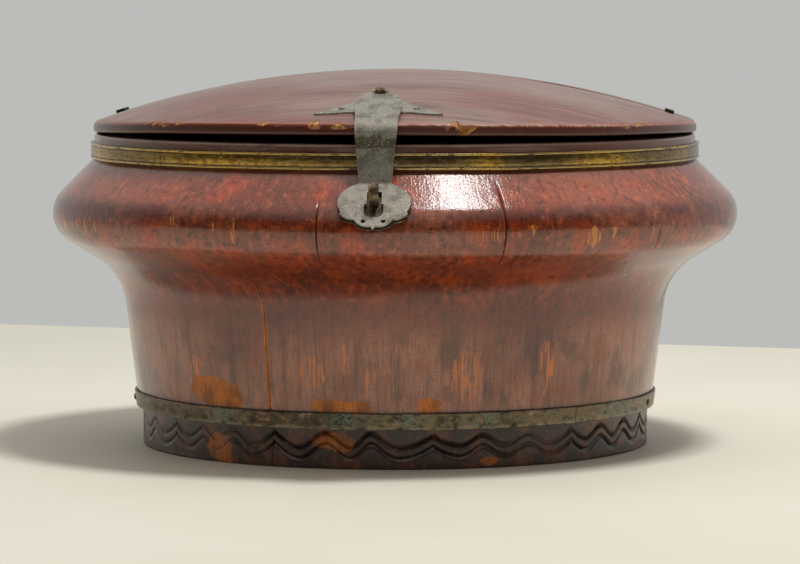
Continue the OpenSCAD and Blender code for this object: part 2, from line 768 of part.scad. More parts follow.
// Lock plate and staple on the shoulder
module lock_plate() {
    color("#6e6340")
        difference() {
            front()
                facing(shoulder_at(disc_s, seat_gap), shoulder_normal)
                    linear_extrude(height = lock_plate_t)
                        translate([0, -disc_b])
                            scale(1 + lock_plate_rim / disc_r)
                                translate([0, disc_b])
                                    disc_outline();
            front() staple_hole();
        }
}
module staple_hole() {
    depth = wall + clench_gap + staple_t;
    facing(shoulder_at(staple_s, 0), shoulder_normal)
        block([staple_w + 2 * hole_gap, 2 * (staple_t + hole_gap), depth + eye_h], -depth);
}
module staple() {
    leg_h = -wall - clench_gap - staple_t / 2;
    upper_end = shoulder_at(staple_s - staple_leg, leg_h);
    turn = shoulder_normal + under_angle;
    lower_leg = [for (i = [0 : corner_steps])
        nose_c + (nose_r + leg_h) * unit(shoulder_normal - turn * i / corner_steps)];
    lower_end = lower_leg[corner_steps] - staple_low_leg * unit(under_dir);
    eye = shoulder_at(staple_s, eye_h);
    color("#7a5a3c")
        front()
            difference() {
                union() {
                    translate(eye) cylinder(r = eye_out_r, h = staple_w, center = true);
                    linear_extrude(height = staple_w, center = true) {
                        polygon(strip([shoulder_at(staple_s, leg_h), eye], 2 * staple_t));
                        polygon(strip(concat([upper_end], lower_leg, [lower_end]), staple_t));
                    }
                }
                translate(eye) cylinder(r = eye_r, h = staple_w * 2, center = true);
            }
}

// Hinge
module hinge_strip(path, width) {
    linear_extrude(height = width, center = true) polygon(strip(path, leaf_t));
}
module hinge_bore() {
    translate([hinge_u, hinge_z]) cylinder(r = hinge_pin_r + running_gap, h = hinge_w * 2, center = true);
}
module lid_leaf_plan() {
    half = concat(
        [[hinge_w / 2, bulge_r]],
        bow([hinge_w / 2, lid_r - lid_leaf_length / 2], [0, lid_leaf_end], bend_r),
        [[0, lid_leaf_end]]
    );
    polygon(concat(half, mirrored(half)));
}
module hinge_lid_leaf() {
    corner = meet([leaf_u, 0], 90, lid_at(lid_r, leaf_h), -lid_edge_slope);
    on_lid = [for (i = [1 : corner_steps])
        lid_at(lid_r - (lid_leaf_length + bend_r) * i / corner_steps, leaf_h)];
    path = rounded(
        concat([[leaf_u, hinge_z], corner], on_lid),
        [for (i = [0 : corner_steps + 1]) i == 1 ? (bend_r + leaf_t) / 2 : 0]
    );
    color("#6f6a58")
        difference() {
            union() {
                intersection() {
                    back() hinge_strip(path, hinge_w * 2);
                    translate([0, 0, hinge_z + knuckle_room])
                        linear_extrude(height = crown_z) lid_leaf_plan();
                }
                back() hinge_strip([path[0], [leaf_u, hinge_z + knuckle_room + tiny]], knuckle_w);
                back() translate([hinge_u, hinge_z]) cylinder(r = knuckle_r, h = knuckle_w, center = true);
            }
            back() hinge_bore();
            lid_leaf_nail_places() nail_hole();
        }
}
module hinge_lid_nails() {
    color("#a59a7a") lid_leaf_nail_places() nail();
}
module body_leaf_plan() {
    side = hinge_w / 2;
    round_end = bow([side, 0], [-side, 0], side);
    polygon(concat([[side, body_leaf_s * 2]], round_end, [[-side, 0], [-side, body_leaf_s * 2]]));
}
module knuckle_notch() {
    notch_w = knuckle_w + 2 * seat_gap;
    translate([hinge_u - knuckle_room, hinge_z - knuckle_room, -notch_w / 2])
        cube([2 * knuckle_room, 2 * knuckle_room, notch_w]);
}
module hinge_body_leaf() {
    corner = meet([leaf_u, 0], 90, shoulder_at(0, leaf_h), shoulder_dir);
    end = shoulder_at(body_leaf_s + leaf_t, leaf_h);
    path = rounded([[leaf_u, hinge_z], corner, end], [0, bend_r, 0]);
    color("#6f6a58")
        back()
            difference() {
                union() {
                    intersection() {
                        hinge_strip(path, hinge_w * 2);
                        facing(shoulder_at(body_leaf_s - hinge_w / 2, 0), shoulder_normal)
                            linear_extrude(height = body_leaf_s * 2, center = true)
                                body_leaf_plan();
                    }
                    for (x = [-outer_knuckle_x, outer_knuckle_x])
                        translate([hinge_u, hinge_z, x])
                            cylinder(r = knuckle_r, h = outer_knuckle_w, center = true);
                }
                knuckle_notch();
                hinge_bore();
                body_leaf_nail_places() nail_hole();
            }
}
module hinge_body_nails() {
    color("#a59a7a") back() body_leaf_nail_places() nail();
}
module hinge_pin() {
    color("#8a8577")
        back()
            translate([hinge_u, hinge_z]) {
                cylinder(r = hinge_pin_r, h = hinge_w + 2 * head_h, center = true);
                for (side = [-1, 1])
                    translate([0, 0, side * (hinge_w / 2 + seat_gap + head_h / 2)])
                        cylinder(r = head_r + head_h / 2, h = head_h, center = true);
            }
}

for (k = [0 : stave_count - 1])
    stave(k);
for (k = [0 : floor_boards - 1])
    floor_board(k);
stave_pins();
upper_hoop();
upper_hoop_nails();
lower_hoop();
lower_hoop_nails();
lid_front_board();
lid_back_board();
lid_pins();
lid_cramps();
hasp_plate();
hasp_plate_nails();
hasp_split_pin();
hasp();
lock_plate();
staple();
hinge_lid_leaf();
hinge_lid_nails();
hinge_body_leaf();
hinge_body_nails();
hinge_pin();
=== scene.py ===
"""Dresses a round coopered box: lacquered staves, a domed lid, metal hoops and a front hasp."""

import logging
from dataclasses import dataclass, field
from enum import Enum
from typing import ClassVar, NamedTuple

import bpy
import numpy as np
from numpy.typing import ArrayLike
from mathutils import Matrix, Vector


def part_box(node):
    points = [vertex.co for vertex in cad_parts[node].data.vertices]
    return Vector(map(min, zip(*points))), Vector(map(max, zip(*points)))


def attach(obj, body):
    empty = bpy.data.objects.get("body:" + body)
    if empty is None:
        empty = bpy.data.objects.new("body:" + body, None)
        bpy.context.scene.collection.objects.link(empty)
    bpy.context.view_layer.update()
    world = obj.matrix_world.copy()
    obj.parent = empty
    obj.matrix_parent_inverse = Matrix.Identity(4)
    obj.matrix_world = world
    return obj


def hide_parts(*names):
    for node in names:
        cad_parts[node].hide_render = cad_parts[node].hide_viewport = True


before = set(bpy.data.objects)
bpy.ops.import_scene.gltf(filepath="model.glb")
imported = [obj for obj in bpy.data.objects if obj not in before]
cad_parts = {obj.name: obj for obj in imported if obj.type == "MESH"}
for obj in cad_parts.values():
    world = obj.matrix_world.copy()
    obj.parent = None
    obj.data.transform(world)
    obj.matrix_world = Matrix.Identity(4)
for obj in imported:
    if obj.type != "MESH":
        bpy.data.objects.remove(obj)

Array = np.ndarray
Socket = bpy.types.NodeSocket
Pair = tuple[float, float]
LOG = logging.getLogger("lidded_box")
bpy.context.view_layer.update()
# Metres in a millimetre
MM = 0.001
# Width of the photograph in pixels
PHOTO_W = 800
# Edges that bend more than this many degrees stay crisp
CRISP_BEND = 40
# Points that agree to this many decimals of a metre are one point
MERGE_DIGITS = 8
# Fewest points on a rounded corner
ARC_POINTS = 4
# Step in millimetres of the walk that spaces a profile's points
WALK_STEP = 0.05
# Two inputs and the output of a Mix node, by number, for each kind of data
MIX_SOCKETS = {"RGBA": (6, 7, 2), "FLOAT": (2, 3, 0)}
# How far the edge of a stain wanders, and half the width over which it fades, in millimetres
STAIN_WANDER = 6
STAIN_SOFT = 1
# How far an open joint fades beyond its end and before it, in millimetres
CRACK_OUT = 4
CRACK_IN = 8


class Body(Enum):
    """Bodies of the frame that new pieces ride on."""

    BOX = "box"
    LID = "lid"


class Place(Enum):
    """Where a finish takes its coordinates from: the object's own axes, or a piece's grain."""

    OBJECT = "object"
    GRAIN = "grain"


class Seed:
    """Numbers that fix each random pattern, so that every run gives the same box."""

    DENTS = 3
    WAVE_WEAR = 4
    WALL = 5
    UPPER_HOOP = 5
    WAVE_LENGTH = 7
    WAVE_MIDDLE = 8
    WAVE_SWING = 9
    LOWER_HOOP = 10
    BARE_WOOD = 21
    KNOCKS = 22
    STROKES = 23
    RIM_HIGHLIGHT = 24
    NICKS = 25
    CHIPS = 31
    BACK_CHIPS = 33
    SWAY = 35
    JOINTS = 40


# Numbers and lines


def linear(code: str) -> tuple[float, float, float, float]:
    """Turn an sRGB hex colour into linear RGBA.

    Args:
        code: Colour such as "#8e4028".

    Returns:
        The linear red, green and blue, and an alpha of 1.
    """
    srgb = np.array([int(code[i : i + 2], 16) for i in (1, 3, 5)]) / 255
    rgb = np.where(srgb <= 0.04045, srgb / 12.92, ((srgb + 0.055) / 1.055) ** 2.4)
    return (*rgb.tolist(), 1.0)


def smooth(x: ArrayLike, low: float, high: float) -> Array:
    """Rise from 0 at low to 1 at high along the cubic 3t2 - 2t3, and stay flat outside."""
    t = np.clip((np.asarray(x) - low) / (high - low), 0, 1)
    return t * t * (3 - 2 * t)


def bump(x: ArrayLike, middle: float, half: float) -> Array:
    """A bell of height 1 at the middle that falls as a Gaussian with that half width."""
    return np.exp(-(((np.asarray(x) - middle) / half) ** 2))


def cloud(around: ArrayLike, cells: int, across: ArrayLike, seed: int, octaves: int = 2) -> Array:
    """Soft random hills round the axis: lattice values blended by cubics, halved in size at each octave.

    Args:
        around: Share of a full turn.
        cells: Lattice cells in a full turn, after which the hills repeat.
        across: Lattice coordinate across the turn.
        seed: Number that fixes the hills.
        octaves: Number of layers of detail.

    Returns:
        Heights from about -1 to 1, in the broadcast shape of around and across.
    """
    size = 64
    table = np.random.default_rng(seed).uniform(-1, 1, (size, size))
    x = np.asarray(around) * cells
    total = np.zeros(np.broadcast(x, across).shape)
    for octave in range(octaves):
        scale = 2**octave
        u, v = x * scale, np.asarray(across) * scale
        i, j = np.floor(u).astype(int), np.floor(v).astype(int)
        a, b = smooth(u - i, 0, 1), smooth(v - j, 0, 1)
        i0, i1 = i % (cells * scale) % size, (i + 1) % (cells * scale) % size
        j0, j1 = j % size, (j + 1) % size
        near = table[i0, j0] * (1 - a) + table[i1, j0] * a
        far = table[i0, j1] * (1 - a) + table[i1, j1] * a
        total += (near * (1 - b) + far * b) / scale
    return total


def direction(degrees: float) -> Array:
    """The unit vector at an angle in a section plane."""
    return np.array([np.cos(np.radians(degrees)), np.sin(np.radians(degrees))])


def crossing(p: Array, a: float, q: Array, b: float) -> Array:
    """Where the line through p at angle a meets the line through q at angle b."""
    return p + np.linalg.solve(np.stack([direction(a), -direction(b)], 1), q - p)[0] * direction(a)


def rounded(corners: list[Array], radii: list[float], step: float) -> Array:
    """A closed path of straight runs whose corners are arcs of the given radii.

    Args:
        corners: Corner points, in order round the path.
        radii: One radius for each corner, 0 for a sharp one.
        step: Largest distance between points on an arc.

    Returns:
        Points along the path, without the first one repeated.
    """
    points = []
    for i, (corner, radius) in enumerate(zip(corners, radii)):
        if radius == 0:
            points.append(corner[None])
            continue
        u = corners[i - 1] - corner
        v = corners[(i + 1) % len(corners)] - corner
        u, v = u / np.linalg.norm(u), v / np.linalg.norm(v)
        half = np.arccos(np.clip(u @ v, -1, 1)) / 2
        centre = corner + (u + v) / np.linalg.norm(u + v) * radius / np.sin(half)
        start = corner + u * radius / np.tan(half) - centre
        turn = np.sign(u[1] * v[0] - u[0] * v[1]) * (np.pi - 2 * half)
        a = np.linspace(0, turn, max(ARC_POINTS, int(abs(turn) * radius / step)))[:, None]
        side = np.array([-start[1], start[0]])
        points.append(centre + start * np.cos(a) + side * np.sin(a))
    return np.concatenate(points)


def respaced(path: Array, spacing: Array) -> Array:
    """Walk round a closed path and set points at a spacing that changes along it.

    Args:
        path: Points round the path.
        spacing: Wanted distance between new points, at each point of the path.

    Returns:
        The new points, without the first one repeated.
    """
    ring = np.concatenate([path, path[:1]])
    length = np.linalg.norm(np.diff(ring, axis=0), axis=1)
    fine = np.concatenate([[0], np.cumsum(length)])
    s = np.linspace(0, fine[-1], int(fine[-1] / WALK_STEP))
    wanted = np.interp(s, fine, np.concatenate([spacing, spacing[:1]]))
    count = np.concatenate([[0], np.cumsum(np.diff(s) / wanted[1:])])
    at = np.interp(np.linspace(0, count[-1], int(round(count[-1])), endpoint=False), count, s)
    return np.stack([np.interp(at, fine, ring[:, k]) for k in range(2)], 1)


# Meshes


def ring_quads(rows: int, stations: int) -> Array:
    """Quads of a closed profile of some rows carried through stations, one row after another.

    Args:
        rows: Points in the profile, which closes on itself.
        stations: Places along the way that it is carried.

    Returns:
        Four point numbers for each quad.
    """
    r = np.arange(rows)[:, None]
    c = np.arange(stations - 1)[None, :]
    after = (r + 1) % rows
    quad = [r * stations + c, r * stations + c + 1, after * stations + c + 1, after * stations + c]
    return np.stack(np.broadcast_arrays(*quad), -1).reshape(-1, 4)


def end_caps(rows: int, stations: int) -> list[list[int]]:
    """The two end faces of a closed profile carried through stations.

    Args:
        rows: Points in the profile.
        stations: Places along the way that it is carried.

    Returns:
        Point numbers of the first and of the last face.
    """
    first = list(range(0, rows * stations, stations))
    return [first, [i + stations - 1 for i in reversed(first)]]


def make_piece(
    name: str,
    points: Array,
    material: bpy.types.Material,
    body: Body,
    node: str,
    values: dict[str, Array],
) -> None:
    """Close a profile carried along a way into a mesh, face it outwards and fit it to the frame.

    Args:
        name: Name of the piece.
        points: Points in millimetres, by profile row and station.
        material: Finish of the piece.
        body: Body that it moves with.
        node: CAD node that it stands for.
        values: Named numbers or vectors at each point.
    """
    rows, stations = points.shape[:2]
    flat = points.reshape(-1, 3) * MM
    quads = ring_quads(rows, stations)
    p = flat[quads]
    volume = np.einsum("ij,ij->i", p[:, 0], np.cross(p[:, 1], p[:, 2]) + np.cross(p[:, 2], p[:, 3])).sum()
    faces = quads.tolist() + end_caps(rows, stations)
    fixed = np.round(flat, MERGE_DIGITS)
    kept, first, merged = np.unique(fixed, axis=0, return_index=True, return_inverse=True)
    if len(kept) < len(flat):
        merged = merged.ravel()
        flat = flat[first]
        values = {key: value.reshape(rows * stations, -1)[first] for key, value in values.items()}
        faces = [list(dict.fromkeys(merged[face].tolist())) for face in faces]
        faces = [face for face in faces if len(face) > 2]
    if volume < 0:
        faces = [face[::-1] for face in faces]
    mesh = bpy.data.meshes.new(name)
    mesh.from_pydata(flat.tolist(), [], faces)
    for key, value in values.items():
        kind, entry = ("FLOAT_VECTOR", "vector") if value.shape[-1] == 3 else ("FLOAT", "value")
        layer = mesh.attributes.new(key, kind, "POINT")
        layer.data.foreach_set(entry, np.ascontiguousarray(value, np.float32).ravel())
    mesh.shade_smooth()
    mesh.set_sharp_from_angle(angle=np.radians(CRISP_BEND))
    mesh.materials.append(material)
    piece = bpy.data.objects.new(name, mesh)
    bpy.context.scene.collection.objects.link(piece)
    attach(piece, body.value)
    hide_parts(node)
    LOG.info("%s: %d points on %s", name, len(flat), body.value)


def dress(nodes: list[str], material: bpy.types.Material) -> None:
    """Give CAD nodes that are shown as they are their finish.

    Args:
        nodes: Names of the nodes.
        material: Finish that they take.
    """
    for name in nodes:
        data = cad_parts[name].data
        data.materials.clear()
        data.materials.append(material)
        LOG.info("%s: kept, in %s", name, material.name)


# Finishes


def add(tree: bpy.types.NodeTree, kind: str, out: str | int, inputs: dict, **settings: object) -> Socket:
    """Add one node with its settings, fill or link its inputs and pick an output.

    Args:
        tree: Node tree that takes the node.
        kind: Type of the node, without its ShaderNode prefix.
        out: Name or number of the output that is wanted.
        inputs: Value or socket for each input, by name or number.
        **settings: Properties of the node.

    Returns:
        The wanted output.
    """
    node = tree.nodes.new("ShaderNode" + kind)
    for key, value in settings.items():
        setattr(node, key, value)
    for key, value in inputs.items():
        if isinstance(value, Socket):
            tree.links.new(value, node.inputs[key])
        else:
            node.inputs[key].default_value = value
    return node.outputs[out]


@dataclass(frozen=True)
class Pattern:
    """A random pattern, about 0.5 with spots of a real length along each axis.

    Grit and fine lines that would be finer than a pixel are drawn about 1 mm wide, so that they show.
    """

    name: str
    size_mm: tuple[float, float, float]
    detail: float = 4


@dataclass(frozen=True)
class Coat:
    """One thing that lies over a finish, where a pattern and a mask carried by the mesh allow it.

    Its share goes from 0 where the pattern is low to its full share where it is high, times the
    mask. With a reach, the mask plus reach times the pattern goes between low and high instead,
    which gives the mask a ragged edge. A span keeps it between two heights, and within keeps it
    inside the last coat that isn't itself within another.
    """

    colour: str
    pattern: str
    low: float
    high: float
    share: float = 1.0
    mask: str = ""
    reach: float = 0.0
    span_mm: tuple[float, float] | None = None
    within: bool = False
    roughness: float | None = None
    metallic: float | None = None
    sunk_mm: float = 0.0


@dataclass(frozen=True)
class Finish:
    """A material: its bare colour and gloss, the coats over it and the relief of its patterns."""

    name: str
    colour: str
    roughness: float
    patterns: tuple[Pattern, ...]
    coats: tuple[Coat, ...]
    reliefs: tuple[tuple[str, float], ...] = ()
    metallic: float = 0.0
    specular: float = 0.5
    place: Place = Place.OBJECT

    def build(self) -> bpy.types.Material:
        """Mix the coats over the bare colour, one after another, and raise the patterns.

        Returns:
            The material.
        """
        material = bpy.data.materials.new(self.name)
        material.use_nodes = True
        tree = material.node_tree
        if self.place is Place.GRAIN:
            place = add(tree, "Attribute", "Vector", {}, attribute_name=self.place.value)
        else:
            place = add(tree, "TexCoord", "Object", {})
        spots = {}
        for pattern in self.patterns:
            scale = [1 / (size * MM) for size in pattern.size_mm]
            stretched = add(tree, "VectorMath", 0, {0: place, 1: scale}, operation="MULTIPLY")
            inputs = {"Vector": stretched, "Scale": 1.0, "Detail": pattern.detail}
            spots[pattern.name] = add(tree, "TexNoise", "Fac", inputs)
        ends = {"Base Color": linear(self.colour), "Roughness": self.roughness, "Metallic": self.metallic}
        normal = ground = None
        for coat in self.coats:
            share = self.share(tree, coat, spots, place, ground)
            ground = ground if coat.within else share
            tops = {"Base Color": linear(coat.colour), "Roughness": coat.roughness, "Metallic": coat.metallic}
            for socket, top in tops.items():
                kind = "RGBA" if socket == "Base Color" else "FLOAT"
                a, b, out = MIX_SOCKETS[kind]
                if top is not None:
                    ends[socket] = add(tree, "Mix", out, {0: share, a: ends[socket], b: top}, data_type=kind)
            if coat.sunk_mm:
                below = {} if normal is None else {"Normal": normal}
                sunk = {"Height": share, "Distance": coat.sunk_mm * MM, **below}
                normal = add(tree, "Bump", 0, sunk, invert=True)
        for name, depth_mm in self.reliefs:
            below = {} if normal is None else {"Normal": normal}
            normal = add(tree, "Bump", 0, {"Height": spots[name], "Distance": depth_mm * MM, **below})
        ends["Specular IOR Level"] = self.specular
        if normal is not None:
            ends["Normal"] = normal
        shader = tree.nodes["Principled BSDF"]
        for key, value in ends.items():
            if isinstance(value, Socket):
                tree.links.new(value, shader.inputs[key])
            else:
                shader.inputs[key].default_value = value
        return material

    def share(
        self,
        tree: bpy.types.NodeTree,
        coat: Coat,
        spots: dict[str, Socket],
        place: Socket,
        ground: Socket | None,
    ) -> Socket:
        """Work out how much of a coat lies at each point.

        Args:
            tree: The material's node tree.
            coat: The coat.
            spots: Patterns by name.
            place: Coordinates in metres.
            ground: Share of the coat that it lies within.

        Returns:
            A number from 0 to 1.
        """
        value, factors = spots[coat.pattern], []
        if coat.mask:
            mask = add(tree, "Attribute", "Fac", {}, attribute_name=coat.mask)
            if coat.reach:
                value = add(tree, "Math", 0, {0: value, 1: coat.reach, 2: mask}, operation="MULTIPLY_ADD")
            else:
                factors.append(mask)
        if coat.span_mm:
            height = add(tree, "SeparateXYZ", "Z", {0: place})
            wander = {0: value, 1: -STAIN_WANDER * MM, 2: height}
            wavy = add(tree, "Math", 0, wander, operation="MULTIPLY_ADD")
            for end, soft in zip(coat.span_mm, (STAIN_SOFT, -STAIN_SOFT)):
                middle = end - STAIN_WANDER / 2
                edge = {"Value": wavy, "From Min": (middle - soft) * MM, "From Max": (middle + soft) * MM}
                factors.append(add(tree, "MapRange", 0, edge, interpolation_type="SMOOTHSTEP"))
        if coat.within:
            factors.append(ground)
        band = {"Value": value, "From Min": coat.low, "From Max": coat.high, "To Max": coat.share}
        found = add(tree, "MapRange", 0, band, interpolation_type="SMOOTHSTEP")
        for factor in factors:
            found = add(tree, "Math", 0, {0: found, 1: factor}, operation="MULTIPLY")
        return found


# Wood under the lacquer, seen inside: brown and matt, with streaks along the grain.
BARE_INSIDE = (
    Coat("#5b3a24", "streak", -1.0, -0.5, 1.0, mask="inside", roughness=0.7),
    Coat("#3d2616", "streak", 0.52, 0.34, 0.7, within=True),
    Coat("#79512f", "mottle", 0.5, 0.72, 0.5, within=True),
)

# Red lacquer brushed on softwood and polished by hands: a deep glossy film, rubbed to orange on the ridges,
# chipped to ochre wood, with upright streaks and a pale bloom on the lower wall that also serves as a painted
# reflection of the table.
STAVE_LACQUER = Finish(
    name="worn_red_lacquer_on_softwood",
    colour="#702a17",
    roughness=0.11,
    specular=0.86,
    place=Place.GRAIN,
    patterns=(
        Pattern("streak", (0.9, 24, 1), 4),
        Pattern("dash", (1.5, 20, 1), 2),
        Pattern("band", (4.5, 110, 1), 4),
        Pattern("fine", (0.8, 9, 1), 3),
        Pattern("hatch", (7, 0.8, 1), 3),
        Pattern("ripple", (3.4, 8, 1), 3),
        Pattern("flake", (3, 5, 1), 6),
        Pattern("mottle", (16, 24, 1), 4),
        Pattern("cloud", (75, 60, 1), 4),
        Pattern("grit", (1.3, 1.3, 1), 2),
    ),
    coats=(
        # Pale bloom on the lower wall, made paler still as a painted reflection of the table
        Coat("#c2856a", "cloud", 0.24, 0.6, 0.95, mask="bloom_and_sheen"),
        Coat("#5c3024", "band", 0.52, 0.34, 0.6, mask="bloom_and_sheen"),
        Coat("#c0886c", "band", 0.54, 0.68, 0.45, mask="bloom_and_sheen"),
        Coat("#4b3a30", "mottle", 0.5, 0.3, 0.5, mask="bloom_and_sheen"),
        Coat("#a8502a", "mottle", 0.52, 0.7, 0.62, mask="bloom_and_sheen"),
        # Under the bulge, darker and redder: painted shade, with mottles and flecks over it
        Coat("#4e1c0c", "cloud", 0.1, 0.4, 0.85, mask="under"),
        Coat("#9c3f12", "mottle", 0.48, 0.62, 0.7, mask="under"),
        Coat("#240c06", "flake", 0.5, 0.36, 0.7, mask="under"),
        Coat("#b8541e", "flake", 0.54, 0.68, 0.5, mask="under"),
        Coat("#b34216", "cloud", 0.3, 0.7, 0.95, mask="thin"),
        Coat("#5a2113", "mottle", 0.46, 0.3, 0.4),
        # Pale grey-brown clouds on the shoulder: bloom, and a painted reflection of the ceiling
        Coat("#9a6a58", "cloud", 0.42, 0.62, 0.4, mask="upper"),
        Coat("#cf5a26", "band", 0.5, 0.66, 0.2, mask="upper"),
        Coat("#c9481a", "mottle", 0.5, 0.66, 0.6, mask="upper"),
        Coat("#dd6a30", "streak", 0.54, 0.68, 0.2, mask="upper"),
        Coat("#48190e", "streak", 0.46, 0.32, 0.2, mask="upper"),
        Coat("#e07a44", "flake", 0.55, 0.68, 0.42, mask="upper"),
        Coat("#3a140b", "flake", 0.48, 0.32, 0.5, mask="upper"),
        Coat("#d9744a", "grit", 0.54, 0.72, 0.14, mask="upper"),
        Coat("#2a0c06", "grit", 0.48, 0.32, 0.22, mask="upper"),
        Coat("#371b13", "flake", 0.44, 0.28, 0.3),
        # Dark blotchy band on the top of the nose: hand grime with a painted dark reflection of the room
        Coat("#2e0f08", "mottle", 0.3, 0.6, 0.75, mask="hand"),
        # Greyer and darker just under the upper hoop and on the neck: grime and painted shade
        Coat("#6a483c", "cloud", 0.1, 0.5, 0.9, mask="grime_and_shade"),
        Coat("#3a1d14", "streak", 0.48, 0.3, 0.45, mask="bloom_and_sheen"),
        Coat("#3a1d14", "fine", 0.48, 0.3, 0.55, mask="bloom_and_sheen"),
        Coat("#3f231b", "hatch", 0.48, 0.3, 0.32, roughness=0.26),
        Coat("#a3522a", "streak", 0.52, 0.64, 0.7, mask="rub"),
        Coat("#dd7a30", "dash", 0.5, 0.58, 0.95, mask="stroke"),
        Coat("#d8822e", "dash", 0.95, 1.05, 0.9, mask="nick", reach=1.0),
        Coat("#8a4a1e", "flake", 0.45, 0.78, 0.5, mask="bare", reach=0.6),
        Coat("#e07d1d", "flake", 0.66, 0.95, 1.0, mask="bare", reach=0.6, roughness=0.6, sunk_mm=0.06),
        Coat("#84481a", "mottle", 0.54, 0.38, 0.7, within=True),
        Coat("#6e3812", "fine", 0.48, 0.34, 0.6, within=True),
        Coat("#e2a050", "flake", 0.56, 0.7, 0.5, within=True),
        # Near black on the foot: soot, with painted shade along the top of the lower hoop and in the carving
        Coat("#150c06", "flake", 0.1, 0.42, 1.0, mask="soot_and_shade", roughness=0.38),
        Coat("#7c420f", "mottle", 0.48, 0.62, 0.75, within=True),
        Coat("#120b06", "flake", 0.48, 0.34, 0.85, within=True),
        Coat("#9a5616", "flake", 0.58, 0.68, 0.5, within=True),
        # Near black in the deep cuts of the foot's carving: painted shade
        Coat("#0e0b07", "flake", 0.2, 0.5, 0.85, mask="groove", roughness=0.22),
        # Pale glossy line along the rim's arris: painted highlight
        Coat("#a58d7e", "mottle", 0.2, 0.5, 0.8, mask="rim", roughness=0.12),
        *BARE_INSIDE,
    ),
    reliefs=(("grit", 0.1), ("hatch", 0.03), ("fine", 0.05), ("ripple", 0.14)),
)

# The lid's lacquer, dusty and rubbed by hands: a dull mauve-brown film with grain along the boards.
LID_LACQUER = Finish(
    name="dusty_red_lacquer_on_boards",
    colour="#77453a",
    roughness=0.32,
    specular=0.6,
    patterns=(
        Pattern("streak", (60, 1.8, 26), 4),
        Pattern("fine", (26, 0.9, 14), 3),
        Pattern("speck", (2.6, 2.6, 1.6), 4),
        Pattern("mottle", (34, 15, 15), 5),
        Pattern("cloud", (110, 60, 60), 4),
        Pattern("grit", (1.4, 1.4, 1.4), 2),
    ),
    coats=(
        Coat("#8b7065", "cloud", 0.32, 0.64, 0.9),
        Coat("#2a1913", "streak", 0.52, 0.32, 0.45),
        Coat("#a58c82", "streak", 0.54, 0.7, 0.4),
        Coat("#8a3c26", "mottle", 0.5, 0.74, 0.4),
        Coat("#3a211a", "mottle", 0.44, 0.28, 0.35),
        Coat("#8f4a34", "mottle", 0.6, 0.95, 0.7, mask="thin", reach=0.5, roughness=0.2),
        # Pale line along the lid's front arris: painted highlight
        Coat("#cdb3a3", "fine", 0.36, 0.6, 0.8, mask="arris", roughness=0.2),
        # Darker on the lid's upright edge below the arris: painted shade
        Coat("#4a2016", "mottle", -0.2, 0.3, 0.9, mask="soot_and_shade", roughness=0.25),
        Coat("#b47434", "speck", 0.5, 0.7, 1.0, mask="bare", reach=0.4, roughness=0.6, sunk_mm=0.2),
        Coat("#6e3f20", "speck", 0.5, 0.36, 0.8, within=True),
        Coat("#dcae72", "speck", 0.56, 0.68, 0.8, within=True),
        *BARE_INSIDE,
    ),
    reliefs=(("fine", 0.05), ("streak", 0.08), ("grit", 0.03)),
)

# Beaten brass strip, handled for a lifetime: brown patina in the flat, gold where the beads are rubbed, dark
# dirt and painted shade in the hollows beside the beads.
UPPER_BRASS = Finish(
    name="brown_patinated_brass",
    colour="#dcb050",
    roughness=0.22,
    metallic=0.85,
    patterns=(
        Pattern("zone", (80, 80, 60), 3),
        Pattern("spot", (5, 5, 3), 5),
        Pattern("grit", (1.3, 1.3, 1.0), 2),
    ),
    coats=(
        Coat("#75695a", "zone", 0.2, 0.5, 0.85, mask="tarnish"),
        Coat("#6a5222", "spot", 0.4, 0.6, 0.7),
        # Near black in the hollows beside the beads: packed dirt and painted shade
        Coat("#1d160d", "grit", 0.0, 0.3, 0.85, mask="dirt_and_shade", metallic=0.2),
        Coat("#2e2415", "spot", 0.46, 0.32, 0.6, metallic=0.5, roughness=0.42),
        Coat("#dcc27c", "spot", 0.34, 0.6, 0.85, mask="edge", roughness=0.2),
        Coat("#3a3527", "grit", 0.42, 0.3, 0.4),
    ),
    reliefs=(("grit", 0.04), ("spot", 0.1)),
)

# The same strip near the table, never polished: grey-brown patina with blue-green salts.
LOWER_BRASS = Finish(
    name="green_grey_brass",
    colour="#7d6f57",
    roughness=0.36,
    metallic=0.55,
    patterns=UPPER_BRASS.patterns,
    coats=(
        Coat("#5c4d3a", "zone", 0.56, 0.42, 0.9),
        Coat("#231b13", "spot", 0.5, 0.36, 0.72, metallic=0.3),
        Coat("#8a5e34", "spot", 0.55, 0.66, 0.6, roughness=0.5),
        Coat("#c4bca4", "spot", 0.56, 0.7, 0.3, roughness=0.2),
        Coat("#6f948c", "grit", 0.5, 0.6, 0.8, mask="salts", metallic=0.1, roughness=0.4),
        Coat("#aaa184", "spot", 0.3, 0.6, 0.9, mask="edge"),
        Coat("#261f17", "grit", 0.44, 0.3, 0.45),
    ),
    reliefs=(("grit", 0.1), ("spot", 0.16)),
)

# Small brass nails with heads rubbed bright: gold, with a little dirt.
NAIL_BRASS = Finish(
    name="rubbed_brass_nails",
    colour="#b8943f",
    roughness=0.3,
    metallic=0.9,
    patterns=(Pattern("spot", (2, 2, 2), 4),),
    coats=(Coat("#4a3a1c", "spot", 0.44, 0.3, 0.8, roughness=0.5),),
    reliefs=(("spot", 0.08),),
)

